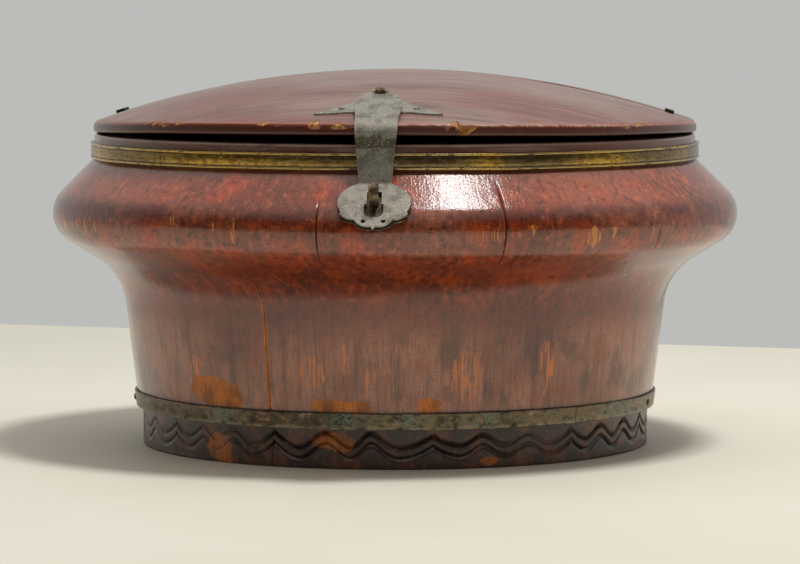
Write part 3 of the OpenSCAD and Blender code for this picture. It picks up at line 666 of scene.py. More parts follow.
# White brass sheet beaten thin and gone dull: pale grey, pitted, with a brown water stain.
WHITE_BRASS = Finish(
    name="dull_white_brass_sheet",
    colour="#9a9488",
    roughness=0.36,
    metallic=0.45,
    patterns=(
        Pattern("blotch", (7, 7, 7), 6),
        Pattern("speck", (1.6, 1.6, 1.6), 3),
        Pattern("grit", (0.8, 0.8, 0.8), 2),
    ),
    coats=(
        Coat("#736d60", "blotch", 0.42, 0.66, 0.9),
        Coat("#5d5440", "blotch", 0.2, 0.5, 0.95, span_mm=(179.5, 186)),
        Coat("#433a2b", "speck", 0.38, 0.28, 0.7, roughness=0.5),
        Coat("#d8d2c4", "grit", 0.58, 0.7, 0.7, roughness=0.24),
    ),
    reliefs=(("grit", 0.06), ("blotch", 0.2)),
)

# Wrought iron pins, handled and a little rusty: grey-brown with a dull shine.
BROWN_IRON = Finish(
    name="brown_wrought_iron",
    colour="#857157",
    roughness=0.45,
    metallic=0.6,
    patterns=(Pattern("spot", (2.5, 2.5, 2.5), 5), Pattern("grit", (0.8, 0.8, 0.8), 2)),
    coats=(
        Coat("#4d3f30", "spot", 0.42, 0.6),
        Coat("#6a4433", "spot", 0.42, 0.3, 0.6, metallic=0.1, roughness=0.7),
    ),
    reliefs=(("spot", 0.15), ("grit", 0.06)),
)

# Blackened iron cramps: dark scale with grey where it is rubbed.
BLACK_IRON = Finish(
    name="black_wrought_iron",
    colour="#2b2521",
    roughness=0.6,
    metallic=0.5,
    patterns=BROWN_IRON.patterns,
    coats=(Coat("#55493f", "spot", 0.5, 0.7),),
    reliefs=BROWN_IRON.reliefs,
)

# Bare softwood boards darkened by use: matt, with long grain along the boards.
BARE_BOARDS = Finish(
    name="bare_softwood_floor",
    colour="#7d5a38",
    roughness=0.75,
    patterns=(Pattern("grain", (120, 4, 4), 5), Pattern("fine", (30, 1, 1), 3)),
    coats=(Coat("#4f3521", "grain", 0.6, 0.35), Coat("#3d2818", "fine", 0.44, 0.3, 0.6)),
    reliefs=(("grain", 0.15), ("fine", 0.06)),
)

# Split bamboo pins: pale, smooth fibres along the pin.
BAMBOO = Finish(
    name="bare_bamboo",
    colour="#c2a468",
    roughness=0.6,
    patterns=(Pattern("fibre", (0.8, 0.8, 14), 4),),
    coats=(Coat("#9a7c48", "fibre", 0.6, 0.4),),
    reliefs=(("fibre", 0.05),),
)

# Table top in matt cream paint: almost even, with a faint cloudiness.
CREAM_PAINT = Finish(
    name="matt_cream_paint",
    colour="#e4dfcf",
    roughness=0.6,
    patterns=(Pattern("cloud", (180, 180, 180), 4), Pattern("grit", (1.5, 1.5, 1.5), 2)),
    coats=(Coat("#e0dbca", "cloud", 0.3, 0.7),),
    reliefs=(("grit", 0.03),),
)


# Sub-assemblies


class Patch(NamedTuple):
    """A worn place: its angle from the front in degrees, its height and its half sizes in millimetres."""

    angle: float
    height: float
    half_w: float
    half_h: float


class Crack(NamedTuple):
    """A joint that has opened: between two heights, to a width in millimetres, with bare edges or dark."""

    low: float
    high: float
    width: float
    bare: bool

    def opening(self, z: Array) -> Array:
        """Width at each height: full inside, and fading out over the ends."""
        start = smooth(z, self.low - CRACK_OUT, self.low + CRACK_IN)
        return self.width * start * smooth(z, self.high + CRACK_OUT, self.high - CRACK_IN)


@dataclass
class Staves:
    """The coopered body: staves with one cyma profile, a groove for the floor and a carved foot."""

    bulge_r: float = 200
    bulge_z: float = 135
    nose_r: float = 18
    shoulder_angle: float = 45
    under_angle: float = 58
    hollow_r: float = 36
    taper_angle: float = 7.3
    taper_r: float = 151.2
    neck_r: float = 175.5
    foot_set_in: float = 2.1
    foot_h: float = 22.3
    wall: float = 14
    first_joint: float = 5.9
    groove_low: float = 21.8
    groove_high: float = 32.2
    groove_depth: float = 5
    columns: int = 66
    hairline: float = 0.05
    bare_top: float = 94
    bare_fade: float = 10
    wave_count: int = 33
    wave_middle: float = 12.6
    wave_swing: float = 3.6
    ribbon_half: float = 2.5
    carve_depth: float = 1.5
    lobe_slope: float = 1.5
    wave_uneven: float = 0.2
    swing_uneven: float = 0.25
    middle_wander: float = 0.8
    point_every: int = 3
    point_shares: Pair = (0.85, 0.08)
    point_power: float = 0.8
    carve_least: float = 0.3
    carve_worn: Pair = (-0.6, 0.35)
    carve_low: Pair = (0.4, 2.5)
    carve_high: Pair = (0.3, 2)
    column_bunch: float = 0.6
    wall_wobble: float = 0.28
    ragged: float = 0.38
    patch_edge: Pair = (1.15, 0.8)
    face_low: Pair = (0.2, 3)
    face_high: Pair = (0.5, 6)
    foot_in: float = 6
    count: int = field(init=False)
    rim_z: float = field(init=False)
    taper_z: float = field(init=False)
    step: float = field(init=False)
    profile: Array = field(init=False)

    # Rounded corners of the profile, and the spacing of its points
    foot_rounds: Pair = (0.8, 1.2)
    seat_round: float = 0.4
    neck_round: float = 1.2
    rim_round: float = 1.8
    inner_neck_round: float = 1.0
    arc_step: float = 0.5
    crisp_step: float = 0.4
    face_step: float = 1.25
    floor_step: float = 1.2
    inner_step: float = 4.0
    floor_top: float = 40

    # Heights between which each kind of wear, painted reflection and painted shade comes in or goes out
    bloom_and_sheen_out: Pair = (96, 60)
    rub_in: Pair = (22, 26)
    rub_out: Pair = (80, 40)
    upper_in: Pair = (110, 126)
    upper_out: Pair = (172, 166)
    shoulder_in: Pair = (138, 150)
    shoulder_out: Pair = (168, 160)
    grime_and_shade_in: Pair = (161, 169)
    haze_in: Pair = (150, 160)

    # Middles and half heights of the bands of wear, of painted shade and of the painted rim highlight, and
    # how far out of the neck or in from the bulge they lie
    under_band: Pair = (101, 15)
    under_in: float = 6
    grime_and_dark_reflection_band: Pair = (143, 6)
    grime_and_dark_reflection_out: float = 8
    ridge_drop: float = 3
    ridge_half: float = 10
    ridge_out: float = 12
    rim_highlight_drop: float = 0.9
    rim_highlight_half: float = 0.8
    hoop_shade_half: float = 1.1
    foot_soft: float = 0.4

    # Random values or depths between which knocks on the ridge, the painted rim highlight and the painted
    # shade in the carving come in
    knock_in: Pair = (-0.5, 0.3)
    rim_highlight_in: Pair = (-0.4, 0.3)
    groove_in: Pair = (0.3, 1.2)

    # Lip and bare wood beside an open joint
    lip_share: float = 1.5
    lip_most: float = 0.8
    lip_half: float = 0.6
    split_in: Pair = (0.05, 0.15)
    split_half: float = 0.9

    # Guessed joints at the sides and back: lowest points, heights and widths, past the joints seen in front
    guess_low: Pair = (20, 130)
    guess_height: Pair = (20, 60)
    guess_width: Pair = (0, 0.45)
    seen_joints: int = 4
    bare_every: int = 4

    # Joints that the photograph shows open, by their number from the front
    cracks: ClassVar[dict[int, Crack]] = {
        0: Crack(104, 124, 0.1, False),
        1: Crack(116, 160, 0.5, False),
        2: Crack(120, 134, 0.25, True),
        3: Crack(121, 137, 0.35, False),
        -1: Crack(117, 152, 0.5, False),
        -2: Crack(-9, 114, 0.3, True),
    }
    # Bare wood that the photograph shows, then a few guessed places at the sides and back
    bare_patches: ClassVar[tuple[Patch, ...]] = (
        Patch(-39, 38, 20, 9), Patch(-9, 34.5, 17, 4.5), Patch(10, 35.5, 8, 5),
        Patch(-38, 10, 13, 9), Patch(-9, 15, 15, 5), Patch(24, 4, 6, 3),
        Patch(118, 36, 22, 7), Patch(171, 34, 14, 6), Patch(-140, 37, 18, 8), Patch(133, 8, 12, 6),
        Patch(-118, 9, 10, 7),
    )
    # Knocks on the ridge of the bulge, seen and then guessed
    nicks: ClassVar[tuple[Patch, ...]] = (
        Patch(36.5, 130.7, 5, 6), Patch(40.4, 133.5, 2.5, 4), Patch(25.4, 134.4, 1.5, 4),
        Patch(48.9, 129.5, 1.5, 6), Patch(-22.9, 133.4, 2.5, 8), Patch(-26.5, 136.3, 1.5, 4),
        Patch(-34.5, 138.5, 2.5, 3), Patch(95, 130, 3, 6), Patch(-105, 131, 3, 7),
        Patch(150, 129, 4, 5), Patch(-170, 132, 3, 6),
    )
    # Places where upright orange strokes show through, seen and then guessed
    strokes: ClassVar[tuple[Patch, ...]] = (
        Patch(18.9, 53.5, 9, 15), Patch(36.3, 54, 6, 15), Patch(-2, 48, 3, 8), Patch(-13.5, 55, 7, 9),
        Patch(-7.2, 60, 2.5, 9), Patch(-43.5, 54, 4, 8), Patch(88, 52, 12, 16), Patch(140, 60, 10, 14),
        Patch(-80, 50, 9, 15), Patch(-128, 55, 12, 15), Patch(-165, 58, 8, 12),
    )

    def __post_init__(self) -> None:
        """Take the heights and the number of staves from the frame, and find the profile's rows."""
        self.count = sum(name.startswith("stave_") and name[-1].isdigit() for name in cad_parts)
        self.rim_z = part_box("stave_01")[1].z / MM
        self.taper_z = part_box("lower_hoop")[1].z / MM
        self.step = 360 / self.count
        self.profile = self.section()

    def taper_at(self, z: float, inside: float) -> Array:
        """The point of the tapered wall at a height, moved inside by a thickness."""
        start = np.array([self.taper_r, self.taper_z]) - inside * direction(-self.taper_angle)
        return crossing(start, 90 - self.taper_angle, np.array([0, z]), 0)

    def corners(self, inside: float) -> list[Array]:
        """Find the corners of the wall's face, from hollow to rim.

        Args:
            inside: Thickness that the face is moved inside by.

        Returns:
            The hollow, the nose, the neck and the rim, as radius and height.
        """
        nose = np.array([self.bulge_r - self.nose_r, self.bulge_z])
        under = nose + (self.nose_r - inside) * direction(-self.under_angle)
        shoulder = nose + (self.nose_r - inside) * direction(self.shoulder_angle)
        rise, slope = 90 - self.under_angle, 90 + self.shoulder_angle
        neck = np.array([self.neck_r - inside, 0])
        return [
            crossing(self.taper_at(0, inside), 90 - self.taper_angle, under, rise),
            crossing(under, rise, shoulder, slope),
            crossing(shoulder, slope, neck, 90),
            np.array([self.neck_r - inside, self.rim_z]),
        ]

    def section(self) -> Array:
        """Draw one stave's closed profile: foot, outer face, rim, inner face and groove.

        Returns:
            Points as radius and height.
        """
        foot_top = self.taper_at(self.foot_h, 0)
        foot_r = foot_top[0] - self.foot_set_in
        out, inn = self.corners(0), self.corners(self.wall)
        groove = self.taper_at(self.groove_high, self.wall), self.taper_at(self.groove_low, self.wall)
        deep = groove[1][0] + self.groove_depth
        corners = [
            self.taper_at(0, self.wall),
            np.array([foot_r, 0]),
            np.array([foot_r, self.foot_h]),
            foot_top,
            *out,
            *inn[::-1],
            groove[0],
            np.array([deep, self.groove_high]),
            np.array([deep, self.groove_low]),
            groove[1],
        ]
        inner_nose = self.nose_r - self.wall
        radii = [*self.foot_rounds, 0, self.seat_round, self.hollow_r, self.nose_r, self.neck_round]
        radii += [self.rim_round, self.rim_round, self.inner_neck_round, inner_nose]
        radii += [self.hollow_r + self.wall, 0, 0, 0, 0]
        path = rounded(corners, radii, self.arc_step)
        r, z = path.T
        outside = r > self.taper_at(0, self.wall / 2)[0] + np.tan(np.radians(self.taper_angle)) * z
        outside |= (z > self.bulge_z) & (r > self.neck_r - self.wall / 2)
        crisp = (z < self.foot_h + 1) | (z > self.rim_z - 3)
        face = np.where(crisp, self.crisp_step, self.face_step)
        inner = np.where(z < self.floor_top, self.floor_step, self.inner_step)
        return respaced(path, np.where(outside, face, inner))

    def crack(self, joint: int) -> Crack:
        """Look up how one joint has opened, or guess it at the sides and back.

        Args:
            joint: Number of the joint from the front.

        Returns:
            The opening.
        """
        near = joint if joint < self.count / 2 else joint - self.count
        rng = np.random.default_rng(joint + Seed.JOINTS)
        ranges = self.guess_low, self.guess_height, self.guess_width
        low, height, width = (rng.uniform(*ends) for ends in ranges)
        unseen = abs(near) > self.seen_joints
        guess = Crack(low, low + height, width if unseen else 0, joint % self.bare_every == 0)
        return self.cracks.get(near, guess)

    def carving(self, angle: Array, z: Array) -> Array:
        """Depth of the foot's wave carving: a ribbon that stands between two cut grooves.

        The ribbon's middle is a cosine wave of uneven length, and every third crest is pointed:
        one minus twice a power of the size of the half-angle sine. Across the ribbon the depth is the
        fifth power of the distance from its middle, and outside it fades as a Gaussian. It ends
        softly at the lower and upper edge of the foot.

        Args:
            angle: Angle from the front, in degrees.
            z: Height in millimetres.

        Returns:
            Depth below the plain foot, in millimetres.
        """
        around = angle / 360
        phase = around * self.wave_count + self.wave_uneven * cloud(around, 20, 0.5, Seed.WAVE_LENGTH)
        crest = np.floor(phase + 0.5)
        pointed = np.where(crest % self.point_every == 1, *self.point_shares)
        t = phase - crest
        spike = 1 - 2 * np.abs(np.sin(np.pi * t)) ** self.point_power
        wave = (1 - pointed) * np.cos(2 * np.pi * t) + pointed * spike
        swing = self.wave_swing * (1 + self.swing_uneven * cloud(around, 24, 3.5, Seed.WAVE_SWING))
        wander = self.middle_wander * cloud(around, 9, 1.5, Seed.WAVE_MIDDLE)
        middle = self.wave_middle + wander + swing * wave
        away = np.abs(z - middle) / self.ribbon_half
        outside = np.exp(-(((away - 1) * self.ribbon_half / self.lobe_slope) ** 2))
        worn = smooth(cloud(around, 10, 2.5, Seed.WAVE_WEAR), *self.carve_worn)
        kept = self.carve_least + (1 - self.carve_least) * worn
        depth = self.carve_depth * kept * np.where(away < 1, away**5, outside)
        end, whole = self.carve_high
        return depth * smooth(z, *self.carve_low) * smooth(z, self.foot_h - end, self.foot_h - whole)

    def spread(self, patches: tuple[Patch, ...], angle: Array, r: Array, z: Array, seed: int) -> Array:
        """Share of the worn places at each point: 1 inside a ragged ellipse, 0 outside.

        Args:
            patches: The worn places.
            angle: Angle from the front, in degrees.
            r: Radius in millimetres.
            z: Height in millimetres.
            seed: Number that fixes the ragged edge.

        Returns:
            Shares from 0 to 1.
        """
        total = np.zeros(np.broadcast(angle, z).shape)
        ragged = self.ragged * cloud(angle / 360, 90, z / 9, seed, 3)
        for patch in patches:
            across = ((angle - patch.angle + 180) % 360 - 180) * np.radians(1) * r / patch.half_w
            reach = np.sqrt(across**2 + ((z - patch.height) / patch.half_h) ** 2) + ragged
            total = np.maximum(total, smooth(reach, *self.patch_edge))
        return total

    def wear(self, angle: Array, r: Array, z: Array, inside: Array, split: Array) -> dict[str, Array]:
        """Where the lacquer is dull, thin, rubbed, bare or sooty, and where shade, reflections and a rim
        highlight are painted on it, as shares at each point.

        Args:
            angle: Angle from the front, in degrees.
            r: Radius in millimetres.
            z: Height in millimetres.
            inside: 1 on the inner face.
            split: Share of bare wood beside an open joint.

        Returns:
            Named shares from 0 to 1.
        """
        around = angle / 360
        bare = self.spread(self.bare_patches, angle, r, z, Seed.BARE_WOOD)
        nick = self.spread(self.nicks, angle, r, z, Seed.NICKS)
        ridge = bump(z, self.bulge_z - self.ridge_drop, self.ridge_half) * (r > self.neck_r + self.ridge_out)
        knocked = smooth(cloud(around, 12, 0.5, Seed.KNOCKS), *self.knock_in) * ridge
        # Where along the rim the painted highlight shows
        rubbed = smooth(cloud(around, 10, 1.5, Seed.RIM_HIGHLIGHT), *self.rim_highlight_in)
        low = smooth(z, *self.rub_out) * smooth(z, *self.rub_in)
        # Under the bulge, where the box shades itself: painted shade
        under = bump(z, *self.under_band) * (r < self.bulge_r - self.under_in)
        shoulder = smooth(z, *self.shoulder_in) * smooth(z, *self.shoulder_out)
        outer = 1 - inside
        foot = smooth(z, self.foot_h + self.foot_soft, self.foot_h - self.foot_soft)
        groove = smooth(self.carving(angle, z), *self.groove_in) * foot
        # The foot's soot, with a little painted shade in the carving's cuts
        sooty = (0.86 * foot + 0.14 * groove) * (1 - 0.7 * bare)
        # How much of each kind of wear, painted shade, painted reflection and painted highlight there is, by
        # the name that the finish knows it under
        masks = {
            # Lower wall: pale bloom and a painted reflection of the table
            "bloom_and_sheen": 0.08 + smooth(z, *self.bloom_and_sheen_out) * (1 - foot),
            "under": under,
            "upper": smooth(z, *self.upper_in) * smooth(z, *self.upper_out),
            # Under the upper hoop and on the neck: grime and painted shade
            "grime_and_shade": 0.95 * smooth(z, *self.grime_and_shade_in) + 0.15 * smooth(z, *self.haze_in),
            "thin": 0.2 + 0.35 * under + 0.6 * shoulder,
            # Top of the nose darker: hand grime and a painted dark reflection of the room
            "hand": bump(z, *self.grime_and_dark_reflection_band) * (r > self.neck_r + self.grime_and_dark_reflection_out),
            "rub": 0.13 + 0.72 * low,
            "stroke": self.spread(self.strokes, angle, r, z, Seed.STROKES),
            "nick": np.maximum(0.41 * knocked, 0.54 * nick),
            "bare": np.maximum(bare * (1 - 0.4 * foot), split),
            # Deep cuts of the carving: painted shade
            "groove": groove * (1 - 0.5 * bare),
            # Rim arris: painted highlight
            "rim": rubbed * bump(z, self.rim_z - self.rim_highlight_drop, self.rim_highlight_half),
            # Foot: soot; a thin band at the lower hoop's top edge: painted shade
            "soot_and_shade": np.maximum(sooty, 0.75 * bump(z, self.taper_z, self.hoop_shade_half)),
        }
        shares = {key: np.clip(outer * value, 0, 1) + 0 * bare for key, value in masks.items()}
        return {**shares, "inside": inside + 0 * bare}

    def build(self, material: bpy.types.Material) -> None:
        """Carry the profile through each stave's share of the circle, one piece a stave.

        A point's radius is the profile's, plus a soft wobble, less the lip beside an open joint and the
        carving. Across is that radius times the sine of its angle from the front, and back is minus the
        radius times the cosine.

        Args:
            material: Finish of the staves.
        """
        r, z = self.profile.T[:, :, None]
        around = np.linspace(0, 1, self.columns)
        around = around - self.column_bunch * np.sin(2 * np.pi * around) / (2 * np.pi)
        inner = (np.arange(len(r)) > np.argmax(z[:, 0]))[:, None] * 1.0
        runs = np.linalg.norm(np.diff(self.profile, axis=0), axis=1)
        length = np.concatenate([[0], np.cumsum(runs)])[:, None]
        end, whole = self.face_high
        face = (1 - inner) * smooth(z, *self.face_low) * smooth(z, self.rim_z - end, self.rim_z - whole)
        foot = (1 - inner) * (z < self.foot_h) * (r > self.taper_r - self.foot_in)
        per_degree = np.radians(1) * r
        for k in range(self.count):
            left = (self.first_joint + (k - 1) * self.step + 180) % 360 - 180
            cracks = [self.crack((k + j - 1) % self.count) for j in (0, 1)]
            opened = [crack.opening(z) for crack in cracks]
            low = left + (self.hairline + opened[0]) / 2 / per_degree
            high = left + self.step - (self.hairline + opened[1]) / 2 / per_degree
            angle = low + (high - low) * around
            edge = np.minimum(angle - low, high - angle) * per_degree
            width = np.where(around < 0.5, *opened)
            lip = np.minimum(width * self.lip_share, self.lip_most) * bump(edge, 0, self.lip_half)
            ochre = np.where(around < 0.5, *(crack.bare * 1.0 for crack in cracks))
            straight = smooth(z, self.bare_top + self.bare_fade, self.bare_top - self.bare_fade)
            split = ochre * straight * smooth(width, *self.split_in) * bump(edge, 0, self.split_half)
            wobble = self.wall_wobble * cloud(angle / 360, 30, z / 40, Seed.WALL)
            radius = r + face * (wobble - lip) - foot * self.carving(angle, z)
            a = np.radians(angle)
            points = np.stack([radius * np.sin(a), -radius * np.cos(a), z + 0 * a], -1)
            grain = np.stack(np.broadcast_arrays(a * self.taper_r * MM, length * MM, 0.0), -1)
            values = {"grain": grain, **self.wear(angle, r, z, inner, split)}
            name = f"stave_{k + 1:02d}"
            make_piece("lacquered_" + name, points, material, Body.BOX, name, values)


@dataclass
class Hoops:
    """Two metal hoops: the upper one with rolled edges, the lower one a flat strip."""

    upper_r: float = 175.65
    upper_t: float = 1.5
    bead_r: float = 0.8
    bead_proud: float = 0.8
    groove: float = 0.35
    upper_seam: float = -44
    lower_t: float = 1.5
    lower_seam: float = 45
    taper_angle: float = 7.3
    seam_gap: float = 0.4
    upper_crown: float = 0.35
    stations: int = 720
    bead_points: int = 9
    bead_room: float = 2.3
    flat_points: int = 9
    drift: float = 0.22
    dent: float = 0.12
    seat_gap: float = 0.15
    lower_rounds: tuple[float, ...] = (0.3, 0.6, 0.5, 0.3)
    lower_step: float = 0.1
    lower_points: int = 5
    rubbed_in: Pair = (0.25, 0)
    dirt_and_shade_in: Pair = (0.45, 0.65)
    lower_flat: float = 1
    lower_rubbed: Pair = (1.4, 0.5)
    lower_face: float = 0.7
    dent_out: float = 0.5

    # Places of blue-green salts on the lower hoop: angle, and half width in degrees
    salts: ClassVar[tuple[Pair, ...]] = (
        (-36, 2.5), (-7, 4), (6, 2), (22, 3), (60, 6), (97, 8), (150, 10), (205, 7), (262, 9),
    )
    # Lengths of the upper hoop that hands have kept gold: angle, and half width in degrees
    gold: ClassVar[tuple[Pair, ...]] = (
        (-33, 14), (44, 7), (20, 3), (100, 12), (160, 20), (235, 15), (290, 8),
    )

    def band(
        self,
        name: str,
        slot: str,
        path: Array,
        edge: Array,
        dirt_and_shade: Array,
        seam: float,
        seed: int,
        material: bpy.types.Material,
    ) -> None:
        """Carry a closed profile round the axis from seam to seam, with a hand-beaten wobble.

        A point's radius is the profile's plus the dents, and its height drifts round the hoop.

        Args:
            name: CAD node that the hoop stands for.
            slot: The record's material slot; not used.
            path: Profile as radius and height.
            edge: Share of rubbed edge at each profile point.
            dirt_and_shade: Share of packed grime and painted shade in the hollows beside the beads, at each
                profile point.
            seam: Angle of the seam from the front, in degrees.
            seed: Number that fixes its rise and fall.
            material: Finish of the hoop.
        """
        r, z = path.T[:, :, None]
        gap = np.degrees(self.seam_gap / r.max())
        angle = np.linspace(seam + gap, seam + 360, self.stations)[None, :]
        drift = self.drift * cloud(angle / 360, 16, 0.5, seed, 3)
        dent = self.dent * cloud(angle / 360, 40, z / 5, Seed.DENTS)
        a = np.radians(angle)
        radius = r + dent * (r > r.min() + self.dent_out)
        points = np.stack([radius * np.sin(a), -radius * np.cos(a), z + drift], -1)
        places = {"salts": self.salts, "tarnish": self.gold}
        values = {"edge": edge[:, None] + 0 * angle, "dirt_and_shade": dirt_and_shade[:, None] + 0 * angle}
        for key, spots in places.items():
            share = sum(bump((angle - middle + 180) % 360, 180, half) for middle, half in spots) + 0 * r
            values[key] = np.clip(1 - share if key == "tarnish" else share, 0, 1)
        make_piece("beaten_" + name, points, material, Body.BOX, name, values)

    def build(self, staves: Staves, upper: bpy.types.Material, lower: bpy.types.Material) -> None:
        """Make both hoops between the heights of their CAD boxes.

        Args:
            staves: The body that they clasp.
            upper: Finish of the upper hoop.
            lower: Finish of the lower hoop.
        """
        low, high = (corner.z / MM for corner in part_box("upper_hoop"))
        face, reach = self.upper_r + self.upper_t, self.upper_r + self.upper_t + self.bead_proud
        turn = np.linspace(-0.5 * np.pi, 0.5 * np.pi, self.bead_points)
        bead = np.stack([np.cos(turn), np.sin(turn)], 1) * self.bead_r + [reach - self.bead_r, 0]
        room = self.bead_room * self.bead_r
        flat = np.linspace(low + room, high - room, self.flat_points)[:, None]
        across = np.linspace(-1, 1, self.flat_points)[:, None]
        crown = reach - self.groove - self.upper_crown * across**4
        outline = np.concatenate([
            bead + [0, low + self.bead_r],
            np.concatenate([crown, flat], 1),
            bead + [0, high - self.bead_r],
            [[self.upper_r, high], [self.upper_r, low]],
        ])
        inset = reach - outline[:, 0]
        edge = smooth(inset, *self.rubbed_in)
        # Hollows beside the beads: dirt and painted shade
        dirt_and_shade = smooth(inset, *self.dirt_and_shade_in) * (outline[:, 0] > face)
        self.band("upper_hoop", "brass", outline, edge, dirt_and_shade, self.upper_seam, Seed.UPPER_HOOP, upper)
        low, high = (corner.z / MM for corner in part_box("lower_hoop"))
        foot_r = staves.taper_at(low, -self.seat_gap)[0]
        lean = np.tan(np.radians(self.taper_angle))
        top_r = foot_r + lean * (high - low)
        corners = [(foot_r, low), (foot_r + self.lower_t, low), (top_r + self.lower_t, high), (top_r, high)]
        outline = rounded([np.array(corner) for corner in corners], list(self.lower_rounds), self.lower_step)
        flat = np.linspace(low + self.lower_flat, high - self.lower_flat, self.lower_points)[:, None]
        outer = np.concatenate([foot_r + self.lower_t + lean * (flat - low), flat], 1)
        split = np.argmax(outline[:, 1] > (low + high) / 2)
        outline = np.concatenate([outline[:split], outer, outline[split:]])
        none, whole = self.lower_rubbed
        edge = smooth(outline[:, 1], low + none, low + whole) * (outline[:, 0] > foot_r + self.lower_face)
        clean = 0 * edge
        self.band("lower_hoop", "dull_brass", outline, edge, clean, self.lower_seam, Seed.LOWER_HOOP, lower)


@dataclass
class Lid:
    """The domed lid: two boards that have lifted at their outer edges, worn and chipped round the rim."""

    rim_z: float
    radius: float = 176
    edge_h: float = 6
    rise: float = 30
    thickness: float = 10
    seat_w: float = 18
    stand_off: float = 0.3
    cup: float = 1.4
    joint_gap: float = 0.25
    round_front: float = 0.9
    round_ends: float = 4.2
    arc_points: int = 8
    round_low: float = 1.6
    round_heel: float = 0.8
    low_step: float = 0.2
    top_points: int = 60
    hollow_points: int = 30
    side_points: int = 6
    stations: int = 560
    blunt_in: Pair = (30, 70)
    sway: float = 0.35
    chip_reach: float = 8
    chip_drop: float = 0.7
    chip_ragged: Pair = (0.0, 0.6)
    chip_bare: Pair = (0.12, 0.4)
    chip_clean: Pair = (0.1, 0.3)
    back_chips: float = 0.5
    back_in: Pair = (0.3, 0.7)
    sway_in: Pair = (10, 60)
    crest_in: Pair = (0, 40)
    sheen_in: Pair = (-8, 10)
    inside_rows: Pair = (2, 5)

    # Worn lengths of the front edge: angle, half width in degrees, and depth of the chips
    chipped: ClassVar[tuple[tuple[float, float, float], ...]] = (
        (-9, 6, 0.8), (15, 2.2, 2.2), (-44, 5, 0.6), (52, 4, 0.6), (-20, 2, 0.6),
    )

    @property
    def low(self) -> float:
        """Height of the seat."""
        return self.rim_z + self.stand_off

    @property
    def crown(self) -> float:
        """Height of the dome's top."""
        return self.low + self.edge_h + self.rise

    def dome(self, u: Array, radius: float, rise: float, top: float) -> Array:
        """Points of a dome of the given radius and rise, at distances u from its middle."""
        r = (radius**2 + rise**2) / (2 * rise)
        return np.stack([u, top - r + np.sqrt(r**2 - u**2)], 1)

    def section(self, round_top: float) -> Array:
        """The lid's profile from the crown over the edge to the seat and back up the hollow.

        Args:
            round_top: Radius of the upper edge.

        Returns:
            Points as radius and height, as many for any radius.
        """
        over = self.dome(np.linspace(0, self.radius, self.top_points), self.radius, self.rise, self.crown)
        seat = self.radius - self.seat_w
        hollow = self.edge_h + self.rise - self.thickness
        under = self.dome(np.linspace(seat, 0, self.hollow_points), seat, hollow, self.crown - self.thickness)
        foot, heel = np.array([self.radius, self.low]), np.array([seat, self.low])
        upper = rounded([over[-3], over[-1], foot], [0, round_top, 0], round_top / self.arc_points)
        rounds = [0, self.round_low, self.round_heel, 0]
        lower = rounded([over[-1], foot, heel, under[2]], rounds, self.low_step)
        side = np.linspace(upper[-2], lower[1], self.side_points)[1:-1]
        return np.concatenate([over[:-3], upper[:-1], side, lower[1:-1], under[2:]])

    def build(self, material: bpy.types.Material) -> None:
        """Carry the profile through half a turn for each board, then lift the board about the crest.

        The upper edge is crisp in front and goes over to a round one at the ends. About the crest, a
        point's way back becomes itself times the lift's cosine plus its drop times the sine, and its
        height becomes the drop times the cosine less the way back times the sine.

        Args:
            material: Finish of the boards.
        """
        crisp, soft = self.section(self.round_front), self.section(self.round_ends)
        row = np.arange(len(crisp))[:, None]
        seat = np.argmin(crisp[:, 1])
        angle = np.linspace(-90, 90, self.stations)[None, :]
        a, lift = np.radians(angle), np.radians(self.cup)
        blunt = smooth(np.abs(angle), *self.blunt_in)
        r, z = (c[:, None] + (s - c)[:, None] * blunt for c, s in zip(crisp.T, soft.T))
        inside = smooth(row - seat, *self.inside_rows)
        out, up = self.radius - r, z - self.low
        for side, name in ((-1, "lid_front_board"), (1, "lid_back_board")):
            around = angle / 360 + (0.25 if side > 0 else 0)
            ragged = smooth(cloud(around, 260, up / 2, Seed.CHIPS, 3), *self.chip_ragged)
            zones = self.back_chips * smooth(cloud(around, 14, 0.5, Seed.BACK_CHIPS), *self.back_in)
            if side < 0:
                zones = sum(depth * bump(angle, middle, half) for middle, half, depth in self.chipped)
            arris = bump(out, 0.3, 1.6 + zones) * bump(up, self.edge_h - 0.4, 1.2 + 1.6 * zones)
            arris = arris * (row <= seat)
            chip = arris * zones * ragged
            radius = np.where(out < self.chip_reach, r - chip, r)
            sway = self.sway * cloud(around, 9, r / 60, Seed.SWAY) * smooth(r, *self.sway_in)
            drop = z - self.chip_drop * chip + sway - self.crown
            y = -radius * np.cos(a)
            upright = 1 - (1 - np.sin(a) ** 8) * smooth(r, *self.crest_in)
            back = y * np.cos(lift) + drop * np.sin(lift) * (1 - upright) - self.joint_gap / 2
            height = self.crown + drop * np.cos(lift) - y * np.sin(lift)
            points = np.stack([radius * np.sin(a), back, height], -1) * [-side, -side, 1]
            sheen = bump(out, 0.25, 0.5) * bump(up, self.edge_h - 0.2, 0.7)
            sound = (out < 3) * (1 - smooth(chip, *self.chip_clean))
            shares = {
                # Front arris: painted highlight
                "arris": sheen * smooth(angle, *self.sheen_in),
                "thin": bump(out, 0, 2.2) * (up > self.edge_h - 2.5),
                "bare": smooth(chip, *self.chip_bare),
                # Lid's upright edge below the arris: painted shade
                "soot_and_shade": smooth(up, self.edge_h - 0.6, self.edge_h - 1.6) * sound,
                "inside": inside,
            }
            values = {key: share + 0 * r for key, share in shares.items()}
            make_piece("worn_" + name, points, material, Body.LID, name, values)


